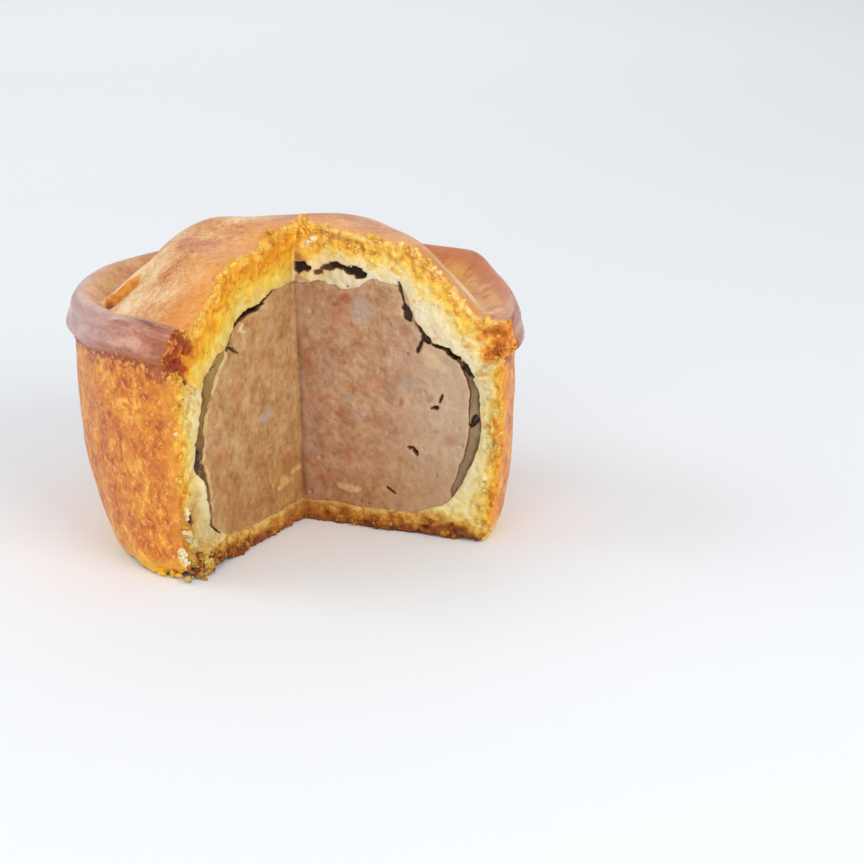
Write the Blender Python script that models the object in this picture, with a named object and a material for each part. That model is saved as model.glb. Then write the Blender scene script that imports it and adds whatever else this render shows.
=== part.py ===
"""A raised pork pie with a wide wedge cut out of it.

Three solids share one turned cross-section: the pastry crust, the band of set jelly under it and
the pork filling. Everything is in metres, +Z up. The pie stands on its base; the wedge is missing
on the -Y side, and the origin is the centre of the model's box at the base.
"""

import math

import bmesh
import bpy
import numpy as np

MM = 0.001

# Driving dimensions
RIM_RADIUS = 47.0 * MM       # outermost edge of the crimped rim
WALL_RADIUS = 44.4 * MM      # side wall at its fullest
HEEL_RADIUS = 39.8 * MM      # edge of the flat base
LID_TOP = 63.0 * MM          # crown of the lid
RIM_TOP = 49.8 * MM          # crest of the rim
RIM_BAND = 6.8 * MM          # height of the rim's outer face
LID_FOOT_RADIUS = 37.4 * MM  # where the lid's flank reaches the crease inside the rim
CREASE_HEIGHT = 45.6 * MM    # bottom of that crease
CREASE_WIDTH = 2.0 * MM      # from the lid's foot out to the bottom of the crease
UNDERCUT = 1.2 * MM          # height of the fillet between the rim's band and the wall
LID_THICKNESS = 12.2 * MM    # at the crown
WALL_THICKNESS = 5.6 * MM
BASE_THICKNESS = 4.4 * MM
JELLY_THICKNESS = 2.8 * MM   # at its thickest, half way up the wall
JELLY_START = 0.26           # share of the cavity's outline, from the crown, at which the jelly starts
JELLY_END = 0.70             # and the share at which it ends
JELLY_TAPER = 0.03           # share at each end where the jelly is too thin to keep
GAP = 0.3 * MM               # clearance between neighbouring solids
WEDGE_ANGLE = math.radians(96.0)

# Mesh density
STEPS_AROUND = 37            # quads round the 264 degrees that are left
OUTLINE_POINTS = 34          # points along the crust's outline, and along the cavity's
CURVE_STEPS = 24             # samples between two knots before a curve is divided evenly
MERGE_DISTANCE = 0.002 * MM  # joins the points that meet on the axis

FIRST_AZIMUTH = math.radians(-90.0) + WEDGE_ANGLE / 2
LAST_AZIMUTH = math.radians(270.0) - WEDGE_ANGLE / 2

# Hand-shaping round the pie: (azimuth in degrees, change in size)
RIM_LIFT = (
    (-42, -3.0 * MM), (-18, -2.8 * MM), (2, -1.8 * MM), (20, 0.0 * MM), (45, 0.5 * MM), (90, 0.2 * MM),
    (130, 0.2 * MM), (165, 0.0 * MM), (190, 0.4 * MM), (210, 1.3 * MM), (222, 0.5 * MM),
)
RIM_REACH = (
    (-42, 0.0 * MM), (-16, -1.8 * MM), (4, -2.0 * MM), (24, -0.3 * MM), (90, 0.0 * MM), (150, -0.2 * MM),
    (186, 0.0 * MM), (222, 0.0 * MM),
)
CREASE_LIFT = (
    (-42, 1.2 * MM), (-16, -0.6 * MM), (10, -2.4 * MM), (40, -2.6 * MM), (90, -1.6 * MM), (131, -1.4 * MM),
    (152, -1.0 * MM), (168, 1.8 * MM), (190, 3.0 * MM), (210, 3.8 * MM), (222, 3.2 * MM),
)
LID_FOOT_REACH = (
    (-42, 0.0 * MM), (-22, -2.6 * MM), (4, -5.2 * MM), (35, -4.2 * MM), (80, -2.0 * MM), (143, -1.4 * MM),
    (176, 0.0 * MM), (222, 0.0 * MM),
)
# The hand-raised wall leans out under the rim, tucks in at the heel and splays by the cut
WALL_REACH = (
    (-42, 0.0 * MM), (-16, -0.8 * MM), (4, -0.9 * MM), (24, 0.1 * MM), (90, 0.3 * MM), (140, 0.6 * MM),
    (168, 0.8 * MM), (190, 0.6 * MM), (222, 0.2 * MM),
)
HEEL_REACH = (
    (-42, 0.2 * MM), (60, 0.0 * MM), (150, -0.8 * MM), (182, -0.9 * MM), (197, 0.8 * MM), (209, 2.3 * MM),
    (222, 1.0 * MM),
)
# How far in from the rim's edge its crest lies: far where the rim is rolled flat, near where it stands up
CREST_INSET = (
    (-42, 2.4 * MM), (-16, 2.0 * MM), (40, 1.6 * MM), (90, 1.6 * MM), (140, 1.8 * MM), (165, 2.6 * MM),
    (190, 3.8 * MM), (222, 4.2 * MM),
)
# Low mounds in the lid: (azimuth in degrees, distance from the axis, height, spread)
LID_MOUNDS = (
    (150, 14.0 * MM, 1.8 * MM, 9.5 * MM),
    (40, 11.0 * MM, 1.4 * MM, 9.0 * MM),
    (222, 17.0 * MM, -0.9 * MM, 7.0 * MM),
    (270, 0.0 * MM, 1.0 * MM, 3.0 * MM),
)


def smooth_through(knots, count):
    """Points at equal steps of length along a Catmull-Rom curve through the knots."""
    knots = np.array(knots, float)
    padded = np.vstack([2 * knots[0] - knots[1], knots, 2 * knots[-1] - knots[-2]])
    fine = []
    for before, start, end, after in zip(padded, padded[1:], padded[2:], padded[3:]):
        t = np.linspace(0.0, 1.0, CURVE_STEPS, endpoint=False)[:, None]
        fine.append(
            0.5 * (2 * start + (end - before) * t
                   + (2 * before - 5 * start + 4 * end - after) * t**2
                   + (3 * start - before - 3 * end + after) * t**3)
        )
    fine = np.vstack(fine + [knots[-1:]])
    along = np.concatenate([[0.0], np.cumsum(np.linalg.norm(np.diff(fine, axis=0), axis=1))])
    wanted = np.linspace(0.0, along[-1], count)
    return np.stack([np.interp(wanted, along, fine[:, axis]) for axis in (0, 1)], axis=1)


def keyed(keys, azimuth):
    """The value at an azimuth in radians, eased between the (degrees, value) keys on either side."""
    degrees = math.degrees(azimuth)
    for (a0, v0), (a1, v1) in zip(keys, keys[1:]):
        if degrees <= a1:
            t = max(0.0, (degrees - a0) / (a1 - a0))
            return v0 + (v1 - v0) * t * t * (3 - 2 * t)
    return keys[-1][1]


def outer_outline(azimuth):
    """Outside of the crust at one azimuth, from the crown over the rim and down to the base's middle."""
    rim = RIM_TOP + keyed(RIM_LIFT, azimuth)
    reach = keyed(RIM_REACH, azimuth)
    edge = RIM_RADIUS + reach
    crest = edge - keyed(CREST_INSET, azimuth)
    crease = CREASE_HEIGHT + keyed(CREASE_LIFT, azimuth)
    foot = LID_FOOT_RADIUS + keyed(LID_FOOT_REACH, azimuth)
    wall = WALL_RADIUS + keyed(WALL_REACH, azimuth)
    heel = HEEL_RADIUS + keyed(HEEL_REACH, azimuth)
    third = OUTLINE_POINTS // 3
    lid = smooth_through(
        [
            (0.0, LID_TOP),
            (0.38 * foot, LID_TOP - 2.0 * MM),
            (0.66 * foot, LID_TOP - 3.4 * MM),
            (0.83 * foot, LID_TOP - 8.6 * MM),
            (foot, max(crease + 1.0 * MM, LID_TOP - 15.0 * MM)),
            (foot + CREASE_WIDTH, crease),
        ],
        third,
    )
    lip = smooth_through(
        [
            (foot + CREASE_WIDTH, crease),
            (crest - 2.3 * MM, crease + 0.85 * max(rim - crease, 0.0)),
            (crest, rim),
            (edge - 0.45 * (edge - crest), rim - 0.18 * RIM_BAND),
            (edge - 0.28 * (edge - crest), rim - 0.45 * RIM_BAND),
            (edge, rim - 0.80 * RIM_BAND),
            (edge - 0.9 * MM, rim - RIM_BAND),
            (wall, rim - RIM_BAND - UNDERCUT),
        ],
        third + 2,
    )
    side = smooth_through(
        [
            (wall, rim - RIM_BAND - UNDERCUT),
            (wall + 0.1 * MM, 0.62 * RIM_TOP),
            (WALL_RADIUS - 0.3 * MM + 0.5 * (wall - WALL_RADIUS), 0.39 * RIM_TOP),
            (WALL_RADIUS - 1.7 * MM + 0.5 * (heel - HEEL_RADIUS), 0.20 * RIM_TOP),
            (heel + 1.8 * MM, 0.07 * RIM_TOP),
            (heel, 0.0),
        ],
        OUTLINE_POINTS - 2 * third - 1,
    )
    base = np.array([(0.5 * heel, 0.0), (0.0, 0.0)])
    outline = np.vstack([lid, lip[1:], side[1:], base])
    return add_mounds(outline, azimuth)


def add_mounds(outline, azimuth):
    """Raises or sinks the lid's part of an outline by the mounds near it, fading out below the shoulder."""
    radius, height = outline[:, 0], outline[:, 1].copy()
    above_shoulder = np.clip((height - RIM_TOP - 2 * MM) / (6 * MM), 0.0, 1.0)
    for degrees, distance, rise, spread in LID_MOUNDS:
        mound = math.radians(degrees)
        away = np.hypot(
            radius * math.cos(azimuth) - distance * math.cos(mound),
            radius * math.sin(azimuth) - distance * math.sin(mound),
        )
        height += above_shoulder * rise * np.exp(-((away / spread) ** 2))
    return np.stack([radius, height], axis=1)


def cavity_outline():
    """Inside of the crust, from under the crown, down the wall and to the middle of the base."""
    ceiling = LID_TOP - LID_THICKNESS
    wall = WALL_RADIUS - WALL_THICKNESS
    return smooth_through(
        [
            (0.0, ceiling),
            (0.30 * wall, ceiling - 0.4 * MM),
            (0.58 * wall, ceiling - 2.6 * MM),
            (0.72 * wall, ceiling - 7.8 * MM),
            (0.92 * wall, ceiling - 14.0 * MM),
            (wall, ceiling - 26.0 * MM),
            (0.95 * wall, ceiling - 36.0 * MM),
            (0.82 * wall, BASE_THICKNESS + 3.0 * MM),
            (0.60 * wall, BASE_THICKNESS + 0.2 * MM),
            (0.30 * wall, BASE_THICKNESS),
            (0.0, BASE_THICKNESS),
        ],
        OUTLINE_POINTS,
    )


def inset(outline, depth):
    """The outline moved towards the filling by a depth, one for each point or one for all."""
    along = np.gradient(outline, axis=0)
    along /= np.linalg.norm(along, axis=1, keepdims=True)
    inward = np.stack([along[:, 1], -along[:, 0]], axis=1)
    moved = outline + inward * np.broadcast_to(depth, len(outline))[:, None]
    moved[[0, -1], 0] = 0.0
    return moved


def jelly_depths(azimuth):
    """Thickness of the jelly at each cavity point: most half way down, none at the crown or the base."""
    share = np.linspace(0.0, 1.0, OUTLINE_POINTS)
    inside = np.clip((share - JELLY_START) / (JELLY_END - JELLY_START), 0.0, 1.0)
    fullness = 1.0 + 0.2 * math.cos(azimuth - LAST_AZIMUTH)
    return fullness * JELLY_THICKNESS * np.sin(math.pi * inside) ** 0.6


def swept(name, section_at, material):
    """A solid swept round the pie's axis, given the closed outline of its section at each azimuth."""
    mesh = bmesh.new()
    sections = []
    for azimuth in np.linspace(FIRST_AZIMUTH, LAST_AZIMUTH, STEPS_AROUND + 1):
        turn = (math.cos(azimuth), math.sin(azimuth))
        sections.append([mesh.verts.new((r * turn[0], r * turn[1], z)) for r, z in section_at(azimuth)])
    count = len(sections[0])
    for here, there in zip(sections, sections[1:]):
        for i in range(count):
            j = (i + 1) % count
            mesh.faces.new([here[i], there[i], there[j], here[j]])
    for cut in (sections[0], sections[-1]):
        mesh.faces.new(cut)
    bmesh.ops.remove_doubles(mesh, verts=mesh.verts, dist=MERGE_DISTANCE)
    bmesh.ops.dissolve_degenerate(mesh, edges=mesh.edges, dist=MERGE_DISTANCE)
    bmesh.ops.recalc_face_normals(mesh, faces=mesh.faces)
    data = bpy.data.meshes.new(name)
    mesh.to_mesh(data)
    mesh.free()
    solid = bpy.data.objects.new(name, data)
    bpy.context.scene.collection.objects.link(solid)
    data.materials.append(material)
    data.shade_smooth()
    data.set_sharp_from_angle(angle=math.radians(40.0))
    return solid


def finish(name, colour, roughness):
    """A Principled material without metal."""
    material = bpy.data.materials.new(name)
    material.use_nodes = True
    shader = material.node_tree.nodes["Principled BSDF"]
    shader.inputs["Base Color"].default_value = (*colour, 1.0)
    shader.inputs["Roughness"].default_value = roughness
    shader.inputs["Metallic"].default_value = 0.0
    return material


def build():
    """Makes the three solids and brings the centre of their box's base to the origin."""
    cavity = cavity_outline()
    share = np.linspace(0.0, 1.0, OUTLINE_POINTS)
    under_jelly = (share > JELLY_START + JELLY_TAPER) & (share < JELLY_END - JELLY_TAPER)

    def crust_section(azimuth):
        return np.vstack([outer_outline(azimuth), cavity[::-1]])

    def jelly_section(azimuth):
        outside = inset(cavity, GAP)[under_jelly]
        inside = inset(cavity, GAP + jelly_depths(azimuth))[under_jelly]
        return np.vstack([outside, inside[::-1]])

    def filling_section(azimuth):
        return inset(cavity, GAP + np.where(under_jelly, jelly_depths(azimuth) + GAP, 0.0))

    solids = (
        swept("crust", crust_section, finish("baked_crust", (0.62, 0.30, 0.10), 0.45)),
        swept("jelly", jelly_section, finish("set_jelly", (0.42, 0.31, 0.17), 0.2)),
        swept("filling", filling_section, finish("pork", (0.66, 0.43, 0.34), 0.5)),
    )
    corners = np.array([vertex.co for vertex in solids[0].data.vertices])
    middle = (corners.min(axis=0) + corners.max(axis=0)) / 2
    for solid in solids:
        solid.location = (-middle[0], -middle[1], 0.0)


for leftover in list(bpy.data.objects):
    bpy.data.objects.remove(leftover)
build()
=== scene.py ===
"""Looks of a raised pork pie with a wide wedge cut out of it.

The crust, the set jelly and the pork filling are modelled again, finer, over their solids, and the
crumbs that the knife left are added. Lengths are in metres, +Z is up, and azimuths are counted from
+X towards +Y round the pie's upright axis. The wedge is missing on the -Y side.
"""

from __future__ import annotations

import sys

import logging
import math
from collections.abc import Callable
from dataclasses import dataclass, field
from enum import Enum

import bmesh
import bpy
import numpy as np
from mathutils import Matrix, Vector

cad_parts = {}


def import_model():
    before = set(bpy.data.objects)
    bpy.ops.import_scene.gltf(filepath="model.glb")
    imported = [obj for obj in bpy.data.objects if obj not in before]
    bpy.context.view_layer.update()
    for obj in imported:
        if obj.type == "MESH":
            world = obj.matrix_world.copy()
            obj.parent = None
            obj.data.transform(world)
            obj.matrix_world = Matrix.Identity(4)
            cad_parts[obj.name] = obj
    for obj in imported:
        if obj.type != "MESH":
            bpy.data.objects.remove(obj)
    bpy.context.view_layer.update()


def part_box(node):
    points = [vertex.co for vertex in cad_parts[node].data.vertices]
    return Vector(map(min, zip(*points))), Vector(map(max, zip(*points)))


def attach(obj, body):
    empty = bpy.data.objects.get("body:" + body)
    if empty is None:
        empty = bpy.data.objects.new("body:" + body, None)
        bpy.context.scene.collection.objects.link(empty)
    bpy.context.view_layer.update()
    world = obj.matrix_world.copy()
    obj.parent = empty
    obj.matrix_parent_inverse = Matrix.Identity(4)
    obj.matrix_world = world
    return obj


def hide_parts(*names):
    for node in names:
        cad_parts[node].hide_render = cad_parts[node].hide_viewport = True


MM = 0.001
log = logging.getLogger("pork_pie")

Keys = tuple[tuple[float, float], ...]
Colour = str
Stops = tuple[tuple[float, Colour], ...]
Line = tuple[tuple[float, float], tuple[float, float]]
Array = np.ndarray
Amount = Array | float
UP = np.array([0.0, 0.0, 1.0])


def smooth_step(low: float, high: float, value: Array) -> Array:
    """Rises smoothly from 0 at low to 1 at high; high may be below low to make it fall."""
    share = np.clip((value - low) / (high - low), 0.0, 1.0)
    return share * share * (3.0 - 2.0 * share)


def window(value: Array, start: float, full: float, still: float, end: float) -> Array:
    """Rises from 0 at start to 1 at full, stays there, and falls from still back to 0 at end."""
    return smooth_step(start, full, value) * smooth_step(end, still, value)


def bell(value: Array, width: float) -> Array:
    """A bell curve over a value: 1 where it is 0, and nearly nothing beyond twice the width."""
    return np.exp(-((value / width) ** 2))


def linear(colour: Colour) -> tuple[float, ...]:
    """An sRGB colour such as "#C08040" as the linear RGBA that shader sockets take."""
    share = [c / 255.0 for c in bytes.fromhex(colour[1:])]
    return (*(c / 12.92 if c <= 0.04045 else ((c + 0.055) / 1.055) ** 2.4 for c in share), 1.0)


@dataclass(frozen=True)
class Noise:
    """Seeded value noise and cell noise, worked out for whole arrays of points."""

    seed: int

    def _lattice(self, cell: Array, channel: int) -> Array:
        """A repeatable number from 0 to 1 for each whole-number cell (..., 3)."""
        cells = cell.astype(np.int64).astype(np.uint64)
        # large odd factors and shifts that spread every bit of the cell over the whole number
        mixed = cells[..., 0] * np.uint64(0x9E3779B97F4A7C15)
        mixed ^= cells[..., 1] * np.uint64(0xC2B2AE3D27D4EB4F)
        mixed ^= cells[..., 2] * np.uint64(0x165667B19E3779F9)
        mixed ^= np.uint64(self.seed * 7919 + channel * 104729 + 12345)
        mixed ^= mixed >> np.uint64(29)
        mixed *= np.uint64(0xBF58476D1CE4E5B9)
        mixed ^= mixed >> np.uint64(32)
        return (mixed & np.uint64(0xFFFFFF)).astype(float) / float(0xFFFFFF)

    def value(self, points: Array, size: float, channel: int = 0) -> Array:
        """Smooth noise from -1 to 1, a blend of random numbers at the corners of cubes of a size.

        Args:
            points: positions (..., 3) in metres.
            size: side of the cubes in metres.
            channel: picks another, independent pattern.

        Returns:
            One number for each point.
        """
        scaled = points / size
        corner = np.floor(scaled)
        share = scaled - corner
        share = share * share * (3.0 - 2.0 * share)
        total = np.zeros(points.shape[:-1])
        for step in np.ndindex(2, 2, 2):
            offset = np.array(step, float)
            weight = np.prod(np.where(offset > 0, share, 1.0 - share), axis=-1)
            total += weight * self._lattice(corner + offset, channel)
        return total * 2.0 - 1.0

    def layers(self, points: Array, size: float, count: int = 3, channel: int = 0) -> Array:
        """Sum of value noises, each half the size and 0.55 times the strength of the last."""
        total = np.zeros(points.shape[:-1])
        strength = 1.0
        for layer in range(count):
            total += strength * self.value(points, size / 2**layer, channel * 16 + layer)
            strength *= 0.55
        return total

    def grains(self, points: Array, size: float, channel: int = 0) -> tuple[Array, Array]:
        """Packed grains, each round one random centre in every cube of a size.

        Args:
            points: positions (..., 3) in metres.
            size: side of the cubes in metres.
            channel: picks another pattern.

        Returns:
            The distance to the nearest centre in units of size, and that grain's own random number.
        """
        scaled = points / size
        corner = np.floor(scaled)
        nearest = np.full(points.shape[:-1], 9.0)
        number = np.zeros(points.shape[:-1])
        for step in np.ndindex(3, 3, 3):
            cell = corner + (np.array(step, float) - 1.0)
            place = [self._lattice(cell, channel * 8 + axis) for axis in range(3)]
            centre = cell + np.stack(place, axis=-1)
            distance = np.linalg.norm(scaled - centre, axis=-1)
            closer = distance < nearest
            nearest = np.where(closer, distance, nearest)
            number = np.where(closer, self._lattice(cell, channel * 8 + 5), number)
        return nearest, number


def curve_points(knots: Array, stations: Array) -> Array:
    """Points on Catmull-Rom curves: each is the cubic through four neighbouring knots.

    Args:
        knots: (..., K, 2) knots of one or many curves.
        stations: (N,) places along the curve, knot 0 at 0 and knot K-1 at K-1.

    Returns:
        (..., N, 2) points.
    """
    first = 2.0 * knots[..., :1, :] - knots[..., 1:2, :]
    last = 2.0 * knots[..., -1:, :] - knots[..., -2:-1, :]
    padded = np.concatenate([first, knots, last], axis=-2)
    span = np.minimum(stations.astype(int), knots.shape[-2] - 2)
    t = (stations - span)[:, None]
    before, start, end, after = (padded[..., span + step, :] for step in range(4))
    return 0.5 * (
        2 * start
        + (end - before) * t
        + (2 * before - 5 * start + 4 * end - after) * t**2
        + (3 * start - before - 3 * end + after) * t**3
    )


def arc_lengths(knots: Array, count: int) -> tuple[Array, Array]:
    """A count of stations along one curve, and the length of the curve up to each."""
    fine = np.linspace(0.0, len(knots) - 1.0, count)
    steps = np.linalg.norm(np.diff(curve_points(knots, fine), axis=0), axis=1)
    return fine, np.concatenate([[0.0], np.cumsum(steps)])


def even_stations(knots: Array, spacing: float) -> Array:
    """Stations that divide one curve's length evenly, about a spacing apart."""
    fine, along = arc_lengths(knots, 60 * len(knots))
    count = max(2, round(along[-1] / spacing))
    return np.interp(np.linspace(0.0, along[-1], count + 1), along, fine)


@dataclass
class Patch:
    """A grid of points (H, W, 3) with named values (H, W) or (H, W, 3) on them."""

    points: Array
    values: dict[str, Array] = field(default_factory=dict)


def grid_quads(grid: Array) -> Array:
    """The quads (F, 4) between the point numbers of a grid (H, W)."""
    corners = [grid[:-1, :-1], grid[1:, :-1], grid[1:, 1:], grid[:-1, 1:]]
    return np.stack(corners, axis=-1).reshape(-1, 4)


def equal_points(places: Array) -> tuple[Array, Array]:
    """Which of some rounded points (N, 3) to keep, and the kept one that each of them becomes."""
    _, kept, where = np.unique(places, axis=0, return_index=True, return_inverse=True)
    return kept, where.reshape(-1)


def weld(name: str, patches: list[Patch], merge: float = 0.5e-6) -> bpy.types.Object:
    """One closed mesh from grids whose borders meet; equal points are merged.

    Args:
        name: the new object's name.
        patches: grids that together close a surface, each with the same named values.
        merge: points closer than this are one point.

    Returns:
        The object, linked to the scene, smooth shaded.
    """
    points = np.concatenate([p.points.reshape(-1, 3) for p in patches])
    quads, start = [], 0
    for patch in patches:
        height, width = patch.points.shape[:2]
        grid = np.arange(height * width).reshape(height, width) + start
        quads.append(grid_quads(grid))
        start += height * width
    kept, where = equal_points(np.round(points / merge).astype(np.int64))
    made = mesh_object(name, points[kept], where[np.concatenate(quads)])
    for key in patches[0].values:
        parts = [p.values[key] for p in patches]
        flat = np.concatenate([v.reshape(-1, 3) if v.ndim == 3 else v.reshape(-1) for v in parts])
        store_value(made.data, key, flat[kept])
    turn_outwards(made.data)
    return made


def mesh_object(name: str, points: Array, faces: Array) -> bpy.types.Object:
    """An object from points (V, 3) and quads (F, 4); two equal corners make it a triangle."""
    repeats = np.stack([faces[:, i] == faces[:, (i + 1) % 4] for i in range(4)], axis=1)
    whole = faces[repeats.sum(axis=1) == 0]
    folded = faces[repeats.sum(axis=1) == 1]
    drop = repeats[repeats.sum(axis=1) == 1].argmax(axis=1)
    order = (drop[:, None] + np.array([1, 2, 3])) % 4
    triangles = np.take_along_axis(folded, order, axis=1)
    distinct = triangles[triangles[:, 0] != triangles[:, 2]]
    corners = np.concatenate([whole.reshape(-1), distinct.reshape(-1)])
    sizes = np.concatenate([np.full(len(whole), 4), np.full(len(distinct), 3)])
    starts = np.concatenate([[0], np.cumsum(sizes)[:-1]]).astype(np.int32)
    mesh = bpy.data.meshes.new(name)
    mesh.vertices.add(len(points))
    mesh.vertices.foreach_set("co", points.astype(np.float32).reshape(-1))
    mesh.loops.add(len(corners))
    mesh.loops.foreach_set("vertex_index", corners.astype(np.int32))
    mesh.polygons.add(len(sizes))
    mesh.polygons.foreach_set("loop_start", starts)
    mesh.update(calc_edges=True)
    mesh.validate()
    mesh.shade_smooth()
    made = bpy.data.objects.new(name, mesh)
    bpy.context.scene.collection.objects.link(made)
    return made


def store_value(mesh: bpy.types.Mesh, name: str, values: Array) -> None:
    """Keeps a number or a vector for each point of a mesh under a name."""
    kind, key = ("FLOAT_VECTOR", "vector") if values.ndim == 2 else ("FLOAT", "value")
    attribute = mesh.attributes.new(name, kind, "POINT")
    attribute.data.foreach_set(key, values.astype(np.float32).reshape(-1))


def turn_outwards(mesh: bpy.types.Mesh) -> None:
    """Turns every face of a closed mesh outwards."""
    work = bmesh.new()
    work.from_mesh(mesh)
    bmesh.ops.recalc_face_normals(work, faces=work.faces)
    work.to_mesh(mesh)
    work.free()
    mesh.update()


class Side(Enum):
    """The two cut faces, by the azimuth in degrees at which each stands."""

    RIGHT = -42.0
    LEFT = 222.0

    @property
    def azimuth(self) -> float:
        """Azimuth of the cut in radians."""
        return math.radians(self.value)

    @property
    def radial(self) -> Array:
        """Unit vector from the axis out along the cut."""
        return np.array([math.cos(self.azimuth), math.sin(self.azimuth), 0.0])

    @property
    def sign(self) -> float:
        """1 for the left cut and -1 for the right one."""
        return 1.0 if self is Side.LEFT else -1.0

    @property
    def row(self) -> int:
        """Which row of a sweep from the right cut round to the left one lies at this cut."""
        return -1 if self is Side.LEFT else 0

    @property
    def normal(self) -> Array:
        """Unit vector out of the pie, into the missing wedge."""
        return self.sign * np.array([-math.sin(self.azimuth), math.cos(self.azimuth), 0.0])


@dataclass(frozen=True)
class PieShape:
    """The pie's sections as functions of azimuth, from the same named sizes as its solids."""

    rim_radius: float = 47.0 * MM
    wall_radius: float = 44.4 * MM
    heel_radius: float = 39.8 * MM
    lid_top: float = 63.0 * MM
    rim_top: float = 49.8 * MM
    rim_band: float = 6.8 * MM
    lid_foot_radius: float = 37.4 * MM
    crease_height: float = 45.6 * MM
    crease_width: float = 2.0 * MM
    undercut: float = 1.2 * MM
    lid_thickness: float = 12.2 * MM
    wall_thickness: float = 5.6 * MM
    base_thickness: float = 4.4 * MM
    jelly_thickness: float = 2.8 * MM
    # shares of the cavity's outline between which there is jelly
    jelly_start: float = 0.26
    jelly_end: float = 0.70
    # (azimuth, change in millimetres there) of the named sizes
    rim_lift: Keys = (
        (-42, -3.0), (-18, -2.8), (2, -1.8), (20, 0.0), (45, 0.5), (90, 0.2), (130, 0.2),
        (165, 0.0), (190, 0.4), (210, 1.3), (222, 0.5),
    )
    rim_reach: Keys = (
        (-42, 0.0), (-16, -1.8), (4, -2.0), (24, -0.3), (90, 0.0), (150, -0.2), (186, 0.0),
        (222, 0.0),
    )
    crease_lift: Keys = (
        (-42, 1.2), (-16, -0.6), (10, -2.4), (40, -2.6), (90, -1.6), (131, -1.4), (152, -1.0),
        (168, 1.8), (190, 3.0), (210, 3.8), (222, 3.2),
    )
    lid_foot_reach: Keys = (
        (-42, 0.0), (-22, -2.6), (4, -5.2), (35, -4.2), (80, -2.0), (143, -1.4), (176, 0.0),
        (222, 0.0),
    )
    wall_reach: Keys = (
        (-42, 0.0), (-16, -0.8), (4, -0.9), (24, 0.1), (90, 0.3), (140, 0.6), (168, 0.8),
        (190, 0.6), (222, 0.2),
    )
    heel_reach: Keys = (
        (-42, 0.2), (60, 0.0), (150, -0.8), (182, -0.9), (197, 0.8), (209, 2.3), (222, 1.0),
    )
    crest_inset: Keys = (
        (-42, 2.4), (-16, 2.0), (40, 1.6), (90, 1.6), (140, 1.8), (165, 2.6), (190, 3.8),
        (222, 4.2),
    )
    # (azimuth, distance from the axis, rise, spread) of the lid's low mounds
    lid_mounds: tuple[tuple[float, float, float, float], ...] = (
        (150, 14.0, 1.8, 9.5), (40, 11.0, 1.4, 9.0), (222, 17.0, -0.9, 7.0), (270, 0.0, 1.0, 3.0),
    )
    # (place along the outside, share of the cavity's outline that lies opposite it)
    opposite: Keys = (
        (0.0, 0.0), (0.2, 0.12), (0.4, 0.19), (0.6, 0.25), (0.8, 0.31), (1.0, 0.325),
        (2.0, 0.395), (2.2, 0.47), (2.4, 0.57), (2.6, 0.65), (2.8, 0.70), (3.0, 0.73),
        (3.5, 0.81), (4.0, 1.0),
    )

    # the section whose lengths set the spacing of points in all of them
    typical_azimuth: float = 200.0

    def keyed(self, keys: Keys, azimuth: Array) -> Array:
        """Lengths at azimuths in radians, eased between (degrees, millimetres) keys."""
        table = np.array(keys, float)
        degrees = np.clip(np.degrees(azimuth), table[0, 0], table[-1, 0])
        here = np.clip(np.searchsorted(table[:, 0], degrees, side="right") - 1, 0, len(table) - 2)
        before, after = table[here], table[here + 1]
        share = smooth_step(0.0, 1.0, (degrees - before[..., 0]) / (after[..., 0] - before[..., 0]))
        return MM * (before[..., 1] + (after[..., 1] - before[..., 1]) * share)

    def _knots(self, azimuth: Array) -> tuple[Array, Array, Array]:
        """Knots (A, K, 2) of the lid, of the rim's lip and of the side, at each azimuth."""
        rim = self.rim_top + self.keyed(self.rim_lift, azimuth)
        reach = self.keyed(self.rim_reach, azimuth)
        edge = self.rim_radius + reach
        inset = self.keyed(self.crest_inset, azimuth)
        crest = edge - inset
        crease = self.crease_height + self.keyed(self.crease_lift, azimuth)
        foot = self.lid_foot_radius + self.keyed(self.lid_foot_reach, azimuth)
        lean, splay = self.keyed(self.wall_reach, azimuth), self.keyed(self.heel_reach, azimuth)
        wall, heel = self.wall_radius + lean, self.heel_radius + splay
        top, band = self.lid_top, self.rim_band
        joint = (foot + self.crease_width, crease)
        under = (wall, rim - band - self.undercut)
        lid = (
            (0.0, top),
            (0.38 * foot, top - 2.0 * MM),
            (0.66 * foot, top - 3.4 * MM),
            (0.83 * foot, top - 8.6 * MM),
            (foot, np.maximum(crease + 1.0 * MM, top - 15.0 * MM)),
            joint,
        )
        lip = (
            joint,
            (crest - 2.3 * MM, crease + 0.85 * np.maximum(rim - crease, 0.0)),
            (crest, rim),
            (edge - 0.45 * inset, rim - 0.18 * band),
            (edge - 0.28 * inset, rim - 0.45 * band),
            (edge, rim - 0.80 * band),
            (edge - 0.9 * MM, rim - band),
            under,
        )
        side = (
            under,
            (wall + 0.1 * MM, 0.62 * self.rim_top),
            (self.wall_radius - 0.3 * MM + 0.5 * lean, 0.39 * self.rim_top),
            (self.wall_radius - 1.7 * MM + 0.5 * splay, 0.20 * self.rim_top),
            (heel + 1.8 * MM, 0.07 * self.rim_top),
            (heel, 0.0),
        )

        def stacked(pairs: tuple) -> Array:
            """Pairs of numbers or arrays as one (A, K, 2) array."""
            blank = np.zeros_like(azimuth)
            return np.stack([np.stack([r + blank, z + blank], axis=-1) for r, z in pairs], axis=-2)

        return stacked(lid), stacked(lip), stacked(side)

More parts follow.
